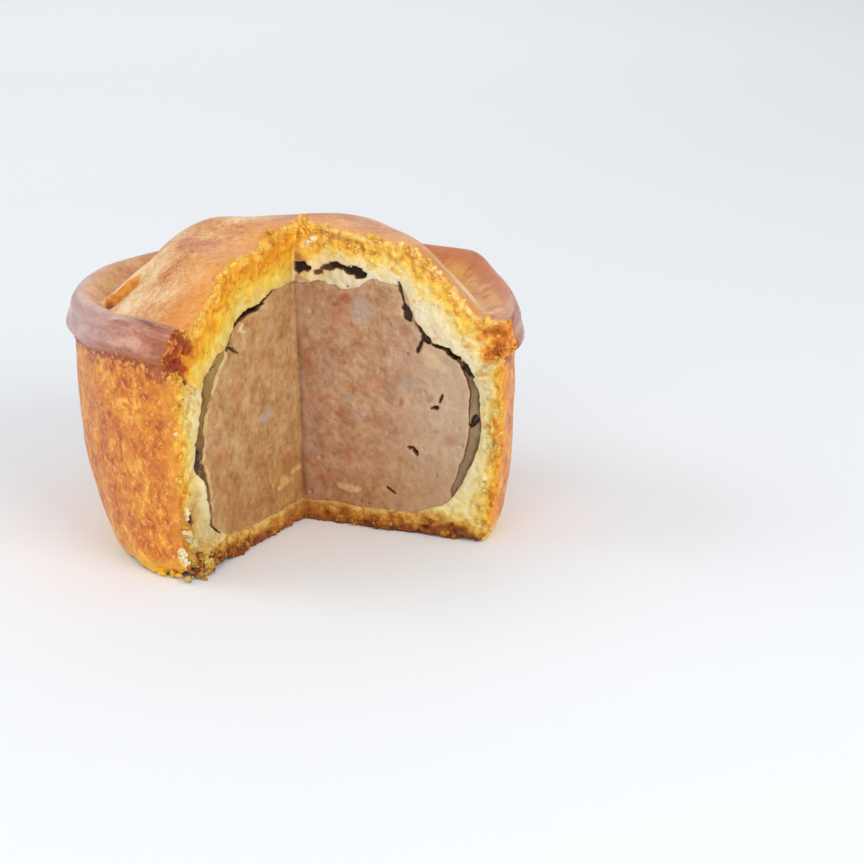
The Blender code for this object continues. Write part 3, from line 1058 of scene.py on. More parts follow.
    def _face(self, side: Side, outer: Patch, outline: Array, shares: Array) -> Patch:
        """A cut face: rungs from the outside to the cavity, with the crumb's relief."""
        skin = outline[side.row]
        inside = self.shape.inward(shares, -self.relief.sway(side, shares))
        share = np.linspace(0.0, 1.0, self.layers + 1)[:, None, None] ** self.crowding
        flat = skin[None] * (1.0 - share) + inside[None] * share
        depth, inner = distance_to(flat, skin), distance_to(flat, inside)
        place = np.broadcast_to(outer.values["place"][side.row], depth.shape)
        along = np.broadcast_to(outer.values["along"][side.row], (*depth.shape, 3)).copy()
        along[..., 2] = depth
        plane = self.relief.placed(side, flat, np.zeros(depth.shape))
        crumb, tone = self._crumb(side, flat, plane, depth, inner, place)
        hollow, shade = self.relief.hollows(side, flat, plane)
        edge = self._stray(plane[:1], flat[:1, :, 0]) * np.exp(-depth / (1.2 * MM))
        inside_skin = smooth_step(0.0, 0.6 * MM, depth)
        out = edge + crumb * inside_skin * smooth_step(0.0, 1.5 * MM, flat[..., 0])
        out -= hollow * inside_skin
        points = self.relief.placed(side, flat, out)
        points[0] = outer.points[side.row]
        values = self._values(along, place, np.ones(depth.shape), depth)
        # brown spots: browned crumb, with painted shade over the slot and in a groove
        browned_and_shaded = self.relief.marks(BROWNED_AND_SHADED_SPOTS, side, flat, plane, 0.7) / MM
        values |= {"inner": inner / MM, "shade": shade, "tone": tone, "brown": browned_and_shaded}
        for name in ("cut", "depth"):
            values[name][0] = outer.values[name][side.row]
        return Patch(points, values)

    def _crumb(
        self,
        side: Side,
        flat: Array,
        plane: Array,
        depth: Array,
        inner: Array,
        place: Array,
    ) -> tuple[Array, Array]:
        """Relief of cut pastry: clumps and pits under the skin, smoother near the filling.

        Args:
            side: which cut face.
            flat: (H, W, 2) section points.
            plane: (H, W, 3) the same points on the knife's plane.
            depth: (H, W) distance from the skin.
            inner: (H, W) distance from the cavity.
            place: (H, W) place round the outside, as in _values.

        Returns:
            How far it stands out, and each clump's own tone, lowered in the pits as painted shade.
        """
        coarse = smooth_step(7.0 * MM, 1.5 * MM, depth) * smooth_step(0.2 * MM, 2.5 * MM, inner)
        torn = window(place, 2.75, 2.98, 3.05, 3.5) * (1.0 if side is Side.LEFT else 0.5)
        rim = window(place, 1.15, 1.35, 1.9, 2.06) * smooth_step(6 * MM, 3 * MM, depth)
        clump, tone = self.noise.grains(plane, 2.1 * MM, 4)
        grain, own = self.noise.grains(plane, 0.95 * MM, 5)
        rough = self.noise.layers(plane, 4.0 * MM, 3, 8)
        pit = smooth_step(0.30, 0.12, self.noise.grains(plane, 3.0 * MM, 6)[0]) * coarse
        fringe = bell(depth, 0.9 * MM) * (1.0 - rim)
        out = 0.55 * (0.5 - clump**2) * (0.45 + coarse) + 0.28 * (0.45 - grain**2) * (0.6 + coarse)
        ragged = (0.7 * torn + 0.8 * rim) * (0.9 * rough - 0.5)
        out += 0.34 * rough + 0.30 * fringe - 0.9 * pit + ragged
        lump, pale = self.relief.lumps(side, flat, plane)
        # the pits get a lower tone: painted shade
        tone = np.clip(0.5 * tone + 0.5 * own - 0.35 * pit + 0.5 * pale, 0.0, 1.0)
        return MM * out + self.relief.wave(plane) + lump, tone

    def build(self) -> bpy.types.Object:
        """Builds the whole shell in its place, inside the box of its solid.

        Returns:
            The crust as one closed object.
        """
        outer, outline = self._outer(self.azimuths())
        shares = np.interp(outer.values["place"][0], *np.array(self.shape.opposite).T)
        self.edges = {side: self._face(side, outer, outline, shares) for side in Side}
        inside = self.shape.cavity(shares)
        hidden = sweep(self.edges, self.inner_rows, lambda _: inside)
        patches = [outer, *self.edges.values(), hidden]
        low, high = (np.array(corner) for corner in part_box("crust"))
        for patch in patches:
            patch.points = np.clip(patch.points + self.axis, low, high)
        return weld("crust_pastry", patches)


@dataclass
class Jelly(Layer):
    """The band of set jelly between crust and filling, with moist, slightly sunken cut ends."""

    along: int = 150
    across: int = 12
    rows: int = 18
    # share of the outline left free at both ends, gap to the other layers, depth of the cut ends
    taper: float = 0.03
    clearance: float = 0.06 * MM
    sunk: float = 0.45 * MM
    noise: Noise = Noise(23)

    def _section(self, azimuth: float, sway: Amount = 0.0, swell: Amount = 1.0) -> Array:
        """Section points (across, along, 2) at an azimuth: straight rungs through the band."""
        shares = self.shares()
        depth = np.maximum(swell * self.shape.jelly_depth(shares, azimuth), 4 * self.clearance)
        outside = self.shape.inward(shares, self.clearance - sway)
        inside = self.shape.inward(shares, depth - self.clearance - sway)
        share = np.linspace(0.0, 1.0, self.across + 1)[:, None, None]
        return outside[None] * (1 - share) + inside[None] * share

    def shares(self) -> Array:
        """Places along the cavity's outline that the band covers."""
        start, end = self.shape.jelly_start + self.taper, self.shape.jelly_end - self.taper
        return np.linspace(start, end, self.along + 1)

    def build(self) -> bpy.types.Object:
        """Builds the band as a bent block: its six sides are grids that share their borders."""
        turns = np.linspace(Side.RIGHT.azimuth, Side.LEFT.azimuth, self.rows + 1)
        block = np.stack([swung(self._section(turn), turn) for turn in turns])
        shade = np.zeros(block.shape[:3])
        shares = self.shares()
        for side in Side:
            end = block[side.row]
            sway, swell = self.relief.sway(side, shares), self.relief.swell(side, shares)
            flat = self._section(side.azimuth, sway, swell)
            hollow, shade[side.row] = self.relief.hollows(side, flat, end)
            out = -self.sunk - hollow
            out += 0.35 * MM * self.noise.layers(end, 2.4 * MM, 2, 1) + self.relief.wave(end)
            block[side.row] = self.relief.placed(side, flat, out)
        share = np.linspace(0.0, 1.0, self.across + 1)[None, :, None]
        across = np.broadcast_to(share, block.shape[:3])
        sides = (np.s_[0], np.s_[-1], np.s_[:, 0], np.s_[:, -1], np.s_[:, :, 0], np.s_[:, :, -1])
        values = {"across": across, "shade": shade}
        return weld("set_jelly", [
            Patch(block[side] + self.axis, {name: value[side] for name, value in values.items()})
            for side in sides
        ])


@dataclass
class Filling(Layer):
    """The pork: a turned block whose two cut faces show the coarse mince."""

    noise: Noise = Noise(31)
    down: int = 340
    out: int = 128
    rows: int = 17
    clearance: float = 0.03 * MM
    # shares of the outline: how far inside the jelly's ends it widens to the crust, and how softly
    taper: float = 0.03
    widening: float = 0.008
    # where the points of the outline are: (share of the points, share of the outline)
    crowded: Keys = ((0.0, 0.0), (0.56, 0.42), (0.86, 0.72), (1.0, 1.0))

    def _outline(self, azimuth: float, sway: Amount = 0.0, swell: Amount = 1.0) -> Array:
        """Outline (down, 2) of the filling's section, inside the jelly where there is jelly."""
        shape, shares, soft = self.shape, self.shares(), self.widening
        start, end = shape.jelly_start + self.taper, shape.jelly_end - self.taper
        banded = window(shares, start - soft, start + soft, end - soft, end + soft)
        jelly = banded * (swell * shape.jelly_depth(shares, azimuth) + self.clearance)
        return shape.inward(shares, self.clearance + jelly - sway)

    def shares(self) -> Array:
        """Places along the cavity's outline of the block's edge."""
        return np.interp(np.linspace(0.0, 1.0, self.down + 1), *np.array(self.crowded).T)

    def _face(self, side: Side) -> Patch:
        """A cut face: rungs from points down the axis to the outline, with the relief of mince."""
        drop = self.shares()
        sway, swell = self.relief.sway(side, drop), self.relief.swell(side, drop)
        outline = self._outline(side.azimuth, sway, swell)
        level = (outline[0, 1] - outline[:, 1]) / (outline[0, 1] - outline[-1, 1])
        fall = 0.5 * drop + 0.5 * np.clip(level, 0, 1)
        spine = outline[0, 1] + (outline[-1, 1] - outline[0, 1]) * fall
        share = np.linspace(0.0, 1.0, self.out + 1)[:, None] ** 0.8
        height = spine * (1 - share) + outline[:, 1] * share
        flat = np.stack([outline[:, 0] * share, height], axis=-1)
        plane = self.relief.placed(side, flat, np.zeros(flat.shape[:-1]))
        border = distance_to(flat, outline)
        hollow, shade = self.relief.hollows(side, flat, plane)
        lump, pale = self.relief.lumps(side, flat, plane)
        near, _ = self.noise.grains(plane * np.array([1.0, 1.0, 0.8]), 2.4 * MM, 1)
        mince = 0.10 * (0.5 - near**2) + 0.10 * self.noise.layers(plane, 1.3 * MM, 3, 2)
        pits = 0.4 * smooth_step(0.16, 0.06, self.noise.grains(plane, 4.0 * MM, 3)[0])
        rounded = 0.15 * np.exp(-border / (0.4 * MM))
        out = MM * (mince - pits - rounded) + self.relief.wave(plane) - hollow + lump
        values = {
            "border": border / MM,
            "shade": shade,
            "pale": pale,
            "red": self.relief.marks(RED_SPOTS, side, flat, plane, 0.6) / MM,
            "grey": self.relief.marks(GREY_SPOTS, side, flat, plane, 0.6) / MM,
            "aside": flat[..., 0] / MM * -side.sign,
        }
        out *= smooth_step(0.0, 1.2 * MM, flat[..., 0])
        return Patch(self.relief.placed(side, flat, out), values)

    def build(self) -> bpy.types.Object:
        """Builds the block from its two cut faces and a coarse sweep between their outlines."""
        faces = {side: self._face(side) for side in Side}
        patches = [*faces.values(), sweep(faces, self.rows, self._outline)]
        for patch in patches:
            patch.points = patch.points + self.axis
        return weld("pork_filling", patches)


# the order counts: the numbers drawn for the crumbs follow it
BITS = (
    *listed(
        Bit, Side.RIGHT,
        # a spike of crumb at the crown, where the two cuts meet
        (0.6, 61.9, 2.4, -0.5, 1.4), (0.8, 62.9, 1.8, -0.4, 1.2), (0.9, 63.6, 1.3, -0.3, 1.0),
        (1.0, 64.1, 0.9, -0.3, 1.0),
        # a white crumb across the corner over the slot
        (1.9, 58.2, 1.3, 0.3, 30.0), (2.5, 58.6, 1.5, 0.3, 30.0), (3.1, 59.1, 1.5, 0.3, 30.0),
        (3.7, 59.6, 1.2, 0.3, 30.0),
    ),
    *listed(
        Bit, Side.LEFT,
        (0.9, 61.5, 1.8, -0.4, 1.4),
    ),
    *listed(
        Bit, Side.RIGHT,
        (1.9, 62.0, 1.4, -0.4, 1.5),
    ),
    *listed(
        Bit, Side.LEFT,
        (3.4, 61.6, 1.4, -1.2, 1.6), (7.6, 61.9, 1.3, -1.8, 1.4),
        # pale crumbs that stand out on the left wall's broken edge and foot
        (44.6, 30.6, 0.9, 0.0, 30.0, 2.5), (42.3, 14.4, 1.5, 0.2, 30.0, 2.5),
        (41.9, 13.2, 1.1, 0.2, 30.0, 2.5), (42.3, 10.3, 1.7, 0.2, 30.0, 2.5),
        (41.6, 8.8, 2.1, 0.1, 7.0, 2.5), (40.4, 7.2, 1.9, 0.1, 6.5, 2.5),
        (44.5, 6.9, 1.7, 0.2, 30.0, 2.5), (44.2, 5.9, 1.9, 0.3, 30.0, 2.5),
        (43.4, 4.7, 1.7, 0.4, 30.0, 2.5),
        # the broken foot of the left cut: brown clumps with a yellow one before them
        (41.4, 5.2, 2.0, 0.2, 2.4, 2.6), (40.4, 3.6, 2.0, 0.3, 2.2, 3.2),
        (39.0, 4.6, 1.8, 0.3, 2.6, 3.2), (38.8, 2.4, 2.0, 0.6, 2.0, 3.2),
        (40.4, 1.8, 1.6, 0.7, 1.2, 3.2), (39.7, 0.8, 1.5, 1.1, 2.4, 3.2),
        (37.6, 3.3, 1.8, 0.8, 1.9, 2.6), (36.5, 2.1, 1.9, 1.1, 1.4, 2.6),
        (37.3, 1.0, 1.6, 1.2, 0.6, 2.6), (35.2, 1.3, 1.4, 0.8, 2.0, 3.2),
        (33.4, 1.6, 1.3, 0.5, 1.4, 3.2), (30.2, 2.0, 1.3, 0.3, 2.6, 3.2),
        # golden teeth of skin along the foot, behind the cut
        (41.6, 0.9, 1.1, -2.4, -6.0, 2.95), (41.4, 0.8, 1.3, -4.2, -6.0, 2.95),
        (41.1, 0.8, 1.9, -6.6, -6.0, 2.95), (40.7, 1.0, 1.2, -9.0, -6.0, 2.95),
    ),
    *listed(
        Bit, Side.RIGHT,
        # on the lid's right edge
        (15.9, 60.9, 1.3, 0.0, 2.0), (17.6, 60.7, 1.6, 0.1, 2.2), (19.0, 60.2, 1.1, 0.1, 1.4),
        (23.6, 58.9, 1.7, 0.1, 2.2), (25.0, 58.2, 1.4, 0.1, 1.6), (37.6, 46.6, 1.5, 0.0, 2.0),
        (40.6, 46.4, 1.8, 0.0, 2.0),
    ),
)


@dataclass
class Crumbs:
    """Loose grains of pastry that cling to the broken edges and lie at the foot of the cut."""

    crust: Crust
    seed: int = 5
    # a bit from less deep than this is a piece of the skin itself
    skin_depth: float = -3.0
    # grains with more squares than this are shaded smooth and made lumpier
    plain_squares: int = 2
    # (size, distance from the middle) of each grain of a chosen bit's cluster, against its size
    cluster: Keys = ((1.0, 0.0), (0.6, 0.34), (0.5, 0.36), (0.4, 0.38), (0.35, 0.4))
    # usual, smallest and largest size in millimetres
    edge_sizes: tuple[float, float, float] = (0.46, 0.20, 1.35)
    face_sizes: tuple[float, float, float] = (0.42, 0.20, 1.1)
    foot_sizes: tuple[float, float, float] = (0.55, 0.2, 1.6)
    # the heap at the foot of the left cut: its distance from the axis, its spread and its height
    heap_radius: float = 38.0 * MM
    heap_spread: float = 2.0 * MM
    heap_height: float = 3.4 * MM
    # (place round the outside, how likely a grain is there) along the broken edges
    edge_weights: Keys = (
        (0.0, 1.3), (1.0, 1.2), (1.3, 1.0), (1.9, 0.9), (2.1, 0.2), (2.7, 0.25), (2.95, 1.0),
        (3.1, 1.0), (3.9, 1.0), (4.0, 0.3),
    )

    @staticmethod
    def _ball(squares: int) -> tuple[Array, Array]:
        """Points and quads of a ball, blown up from a cube with some squares along each side."""
        points, faces = [], []
        steps = np.tan(np.linspace(-0.25, 0.25, squares + 1) * math.pi)
        u, v = np.meshgrid(steps, steps, indexing="ij")
        index = np.arange((squares + 1) ** 2).reshape(squares + 1, squares + 1)
        for axis in range(3):
            for end in (-1.0, 1.0):
                grid = np.zeros((squares + 1, squares + 1, 3))
                for turn, value in enumerate((end, u * end, v)):
                    grid[..., (axis + turn) % 3] = value
                faces.append(grid_quads(index) + index.size * len(points))
                points.append(grid.reshape(-1, 3))
        points = np.concatenate(points)
        kept, where = equal_points(points.round(3))
        ball = points[kept] / np.linalg.norm(points[kept], axis=1, keepdims=True)
        return ball, where[np.concatenate(faces)]

    def piece(
        self,
        name: str,
        centres: Array,
        sizes: Array,
        depth: Array,
        place: Array,
        squares: int = 2,
    ) -> bpy.types.Object:
        """One joined mesh of grains: balls stretched and turned at random and made lumpy by noise.

        Args:
            name: the piece's name.
            centres: (M, 3) grain centres.
            sizes: (M,) grain diameters.
            depth: (M,) depth under the skin, in millimetres, that each grain came from.
            place: (M,) place on the pie that each grain came from.
            squares: quads along each side of the cube that a grain is blown up from.

        Returns:
            The piece as one object.
        """
        rng = np.random.default_rng(self.seed + len(centres))
        ball, quads = self._ball(squares)
        count = len(centres)
        stretch = rng.uniform(0.45, 1.3, (count, 1, 3))
        lumps = self.crust.noise.layers(ball[None] + rng.uniform(0, 90, (count, 1, 3)), 0.75, 3, 14)
        turns, _ = np.linalg.qr(rng.normal(size=(count, 3, 3)))
        turns *= np.sign(np.linalg.det(turns))[:, None, None]
        fine = squares > self.plain_squares
        uneven = 0.5 if fine else 0.42
        shapes = ball[None] * np.clip(0.9 + uneven * lumps, 0.3, 1.5)[..., None] * stretch
        points = centres[:, None] + (shapes @ turns) * (sizes / 2)[:, None, None]
        low, high = (np.array(corner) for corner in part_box("crust"))
        points = np.clip(points.reshape(-1, 3), low, high)
        faces = (quads[None] + np.arange(count)[:, None, None] * len(ball)).reshape(-1, 4)
        made = mesh_object(name, points, faces)
        own = {"depth": depth, "place": place, "tone": rng.uniform(0.15, 1.0, count)}
        own["cut"] = np.where(depth > self.skin_depth, 1.0, 0.0)
        for key, value in (USUAL | own).items():
            each = np.broadcast_to(value, count)
            store_value(made.data, key, np.repeat(each, len(ball)))
        turn_outwards(made.data)
        if not fine:
            made.data.shade_flat()
        return made

    def _scattered(
        self,
        rng: np.random.Generator,
        side: Side,
        weight: Array,
        count: int,
        sizes: tuple[float, float, float],
    ) -> tuple[Array, ...]:
        """Grains scattered over a cut face in loose clusters.

        Args:
            rng: the random source.
            side: which cut face.
            weight: (H, W) how likely a grain is at each point for each unit of area.
            count: number of grains.
            sizes: usual, smallest and largest size in millimetres.

        Returns:
            Centres, sizes, depths under the skin and places.
        """
        patch = self.crust.edges[side]
        across = np.cross(np.gradient(patch.points, axis=0), np.gradient(patch.points, axis=1))
        clusters = self.crust.noise.layers(patch.points, 3.2 * MM, 2, 12)
        clusters = smooth_step(0.0, 0.9, clusters) + 0.04
        chance = (weight * clusters * np.linalg.norm(across, axis=-1)).reshape(-1)
        chosen = rng.choice(chance.size, count, p=chance / chance.sum())
        size = np.clip(sizes[0] * rng.lognormal(0.0, 0.55, count), sizes[1], sizes[2]) * MM
        centre = patch.points.reshape(-1, 3)[chosen] + rng.normal(0.0, 0.14 * MM, (count, 3))
        centre += side.normal * (rng.uniform(-0.42, 0.04, count) * size)[:, None]
        depth = patch.values["depth"].reshape(-1)[chosen] + np.abs(rng.normal(0.0, 0.7, count))
        return centre, size, depth, patch.values["place"].reshape(-1)[chosen]

    def edge_grains(self, count: int = 2500) -> bpy.types.Object:
        """Grains along the broken outer edge of both cut faces, most on the lid."""
        rng = np.random.default_rng(self.seed)
        batches = []
        for side, share, reach in ((Side.RIGHT, 0.4, 1.3), (Side.LEFT, 0.6, 0.8)):
            values = self.crust.edges[side].values
            weight = np.interp(values["place"], *np.array(self.edge_weights).T)
            weight *= bell(values["depth"], reach)
            batches.append(self._scattered(rng, side, weight, int(count * share), self.edge_sizes))
        return self.piece("edge_crumbs", *(np.concatenate(parts) for parts in zip(*batches)))

    def face_grains(self, count: int = 2400) -> bpy.types.Object:
        """Small grains scattered over the golden part of both cut faces."""
        rng = np.random.default_rng(self.seed + 1)
        batches = []
        for side, share in ((Side.RIGHT, 0.35), (Side.LEFT, 0.55)):
            depth, inner, place = (
                self.crust.edges[side].values[key] for key in ("depth", "inner", "place")
            )
            weight = np.exp(-depth / 3.2) * (inner > 1.2) * (depth < 6.5)
            weight *= 1.0 - 0.6 * (np.abs(place - 2.5) < 0.4)  # fewer in the wall
            weight *= 1.0 - 0.8 * (np.abs(place - 1.6) < 0.4)  # and fewest in the rim
            batches.append(self._scattered(rng, side, weight, int(count * share), self.face_sizes))
        return self.piece("face_crumbs", *(np.concatenate(parts) for parts in zip(*batches)))

    def chosen_bits(self) -> bpy.types.Object:
        """The larger crumbs that stand out, each a small cluster."""
        rng = np.random.default_rng(self.seed + 2)
        placed, parts = self.crust.relief.placed, len(self.cluster)
        spots = np.array([
            placed(bit.side, np.array([bit.radius, bit.height]) * MM, np.array(bit.stand * MM))
            for bit in BITS
        ])
        grown, apart = np.array(self.cluster).T
        size = np.array([bit.size for bit in BITS])
        sizes, aside = (np.outer(size, shares).reshape(-1) * MM for shares in (grown, apart))
        turns = rng.normal(0.0, 1.0, (len(sizes), 3))
        turns /= np.linalg.norm(turns, axis=1, keepdims=True)
        centres = np.repeat(spots + self.crust.axis, parts, axis=0) + turns * aside[:, None]
        depth = np.repeat([bit.depth for bit in BITS], parts) + rng.normal(0.0, 0.35, len(sizes))
        place = np.repeat([bit.place for bit in BITS], parts)
        return self.piece("large_crumbs", centres, sizes, depth, place, squares=6)

    def foot_grains(self, count: int = 90) -> bpy.types.Object:
        """Broken bits round the foot of the left cut, on the ground or against the crust."""
        rng = np.random.default_rng(self.seed + 3)
        usual, smallest, largest = self.foot_sizes
        size = np.clip(usual * rng.lognormal(0.0, 0.5, count), smallest, largest) * MM
        along = self.heap_radius + rng.normal(0.0, self.heap_spread, count)
        out = np.abs(rng.normal(0.0, 0.8 * MM, count))
        pile = np.maximum(self.heap_height - 1.6 * out, 0.0) * rng.uniform(0.0, 1.0, count)
        left = Side.LEFT
        centre = along[:, None] * left.radial + out[:, None] * left.normal + self.crust.axis
        centre[:, 2] = size * 0.40 + pile
        depth, place = 1.2 + rng.gamma(1.3, 0.9, count), rng.uniform(2.8, 3.3, count)
        return self.piece("foot_crumbs", centre, size, depth, place, squares=3)


@dataclass(frozen=True)
class Field:
    """A number, vector or colour that varies over the surface; its arithmetic adds shader nodes."""

    socket: bpy.types.NodeSocket

    def node(self, kind: str, inputs: dict, output: int | str = 0, **settings: object) -> Field:
        """The output of a new node of a kind in the same material."""
        return Field(add_node(self.socket.id_data, kind, inputs, **settings).outputs[output])

    def math(self, operation: str, *values: object) -> Field:
        """A Math node."""
        return self.node("Math", dict(enumerate(values)), operation=operation)

    def __add__(self, other: object) -> Field:
        """The sum."""
        return self.math("ADD", self, other)

    def __sub__(self, other: object) -> Field:
        """The difference."""
        return self.math("SUBTRACT", self, other)

    def __rsub__(self, other: float) -> Field:
        """The difference from a plain number."""
        return self.math("SUBTRACT", other, self)

    def __mul__(self, other: object) -> Field:
        """The product."""
        return self.math("MULTIPLY", self, other)

    def __truediv__(self, other: float) -> Field:
        """The quotient."""
        return self.math("DIVIDE", self, other)

    def __abs__(self) -> Field:
        """The size without the sign."""
        return self.math("ABSOLUTE", self)

    def most(self, other: object) -> Field:
        """The larger of two."""
        return self.math("MAXIMUM", self, other)

    def least(self, other: object) -> Field:
        """The smaller of two."""
        return self.math("MINIMUM", self, other)

    def part(self, axis: str) -> Field:
        """The X, Y or Z of a vector."""
        return self.node("SeparateXYZ", {0: self}, axis)

    def stretched(self, scale: tuple[float, float, float]) -> Field:
        """A vector multiplied axis by axis."""
        return self.node("VectorMath", {0: self, 1: scale}, operation="MULTIPLY")

    def band(self, low: float, high: float) -> Field:
        """0 at low and 1 at high, eased between; high may be below low."""
        start = float(high < low)
        inputs = {"Value": self, "From Min": min(low, high), "From Max": max(low, high)}
        inputs |= {"To Min": start, "To Max": 1.0 - start}
        return self.node("MapRange", inputs, interpolation_type="SMOOTHSTEP")

    def ramp(self, stops: Stops) -> Field:
        """A colour ramp through (position, colour) stops."""
        node = add_node(self.socket.id_data, "ValToRGB", {0: self})
        elements = node.color_ramp.elements
        while len(elements) < len(stops):
            elements.new(0.5)
        for element, (position, colour) in zip(elements, stops):
            element.position, element.color = position, linear(colour)
        return Field(node.outputs[0])

    def between(self, first: object, second: object, how: str = "MIX") -> Field:
        """The colour from a first to a second one as this number goes from 0 to 1."""
        return self.node("Mix", {0: self, 6: first, 7: second}, 2, data_type="RGBA", blend_type=how)

    def mixed(self, factor: object, other: object, how: str = "MIX") -> Field:
        """This colour, turned into another by a factor."""
        return self.node("Mix", {0: factor, 6: self, 7: other}, 2, data_type="RGBA", blend_type=how)

    def tinted(self, tint: object) -> Field:
        """This colour multiplied by another."""
        return self.mixed(1.0, tint, "MULTIPLY")


def add_node(
    tree: bpy.types.NodeTree, kind: str, inputs: dict, **settings: object
) -> bpy.types.Node:
    """Adds a shader node with its settings, its inputs filled with fields, numbers or colours."""
    node = tree.nodes.new(f"ShaderNode{kind}")
    for name, setting in settings.items():
        setattr(node, name, setting)
    for key, value in inputs.items():
        put(node.inputs[key], value)
    return node


def put(socket: bpy.types.NodeSocket, value: object) -> None:
    """Links a socket to a field, or sets it to a plain value or an sRGB colour."""
    if isinstance(value, Field):
        socket.id_data.links.new(value.socket, socket)
    else:
        socket.default_value = linear(value) if isinstance(value, str) else value


class Painter:
    """Starts one Principled material and the fields that it is painted with."""

    def __init__(self, name: str) -> None:
        """Starts the material."""
        self.material = bpy.data.materials.new(name)
        self.material.use_nodes = True
        self.tree = self.material.node_tree
        self.shader = self.tree.nodes["Principled BSDF"]
        self.place = Field(self.tree.nodes.new("ShaderNodeTexCoord").outputs["Object"])

    def stored(self, name: str, output: str = "Fac") -> Field:
        """A number (Fac) or vector (Vector) kept on the mesh."""
        return self.place.node("Attribute", {}, output, attribute_name=name)

    def noise(
        self,
        size: float,
        detail: float = 3.0,
        rough: float = 0.55,
        vector: Field | None = None,
        warp: float = 0.0,
    ) -> Field:
        """Noise whose features are about a size across, in metres."""
        inputs = {"Scale": 1.0 / size, "Detail": detail, "Roughness": rough, "Distortion": warp}
        return self.place.node("TexNoise", {"Vector": vector or self.place, **inputs})

    def joined(self, x: object, y: object, z: object) -> Field:
        """A vector of three numbers."""
        return self.place.node("CombineXYZ", {0: x, 1: y, 2: z})

    def swing(self, size: float, reach: float, detail: float = 3.0) -> Field:
        """Noise that swings from about minus to plus half its reach."""
        return (self.noise(size, detail, 0.6) - 0.5) * reach

    def bump(
        self, height: Field, distance: float, strength: object = 1.0, under: Field | None = None
    ) -> Field:
        """A bump of a height field, on top of another bump where one is given."""
        inputs = {"Strength": strength, "Distance": distance, "Height": height}
        return self.place.node("Bump", inputs | ({"Normal": under} if under else {}))

    def hollow_shaded(self, colour: Field, edge: str, deep: str) -> Field:
        """A colour with painted shade: brown at the edges of hollows and dark inside them."""
        shade = self.stored("shade")
        return colour.mixed(shade.band(0.0, 0.5), edge).mixed(shade.band(0.5, 1.0), deep)

    def finish(self, **inputs: object) -> bpy.types.Material:
        """Fills the shader's own inputs, named with _ for a space, and gives the material."""
        for name, value in inputs.items():
            put(self.shader.inputs[name.replace("_", " ")], value)
        return self.material


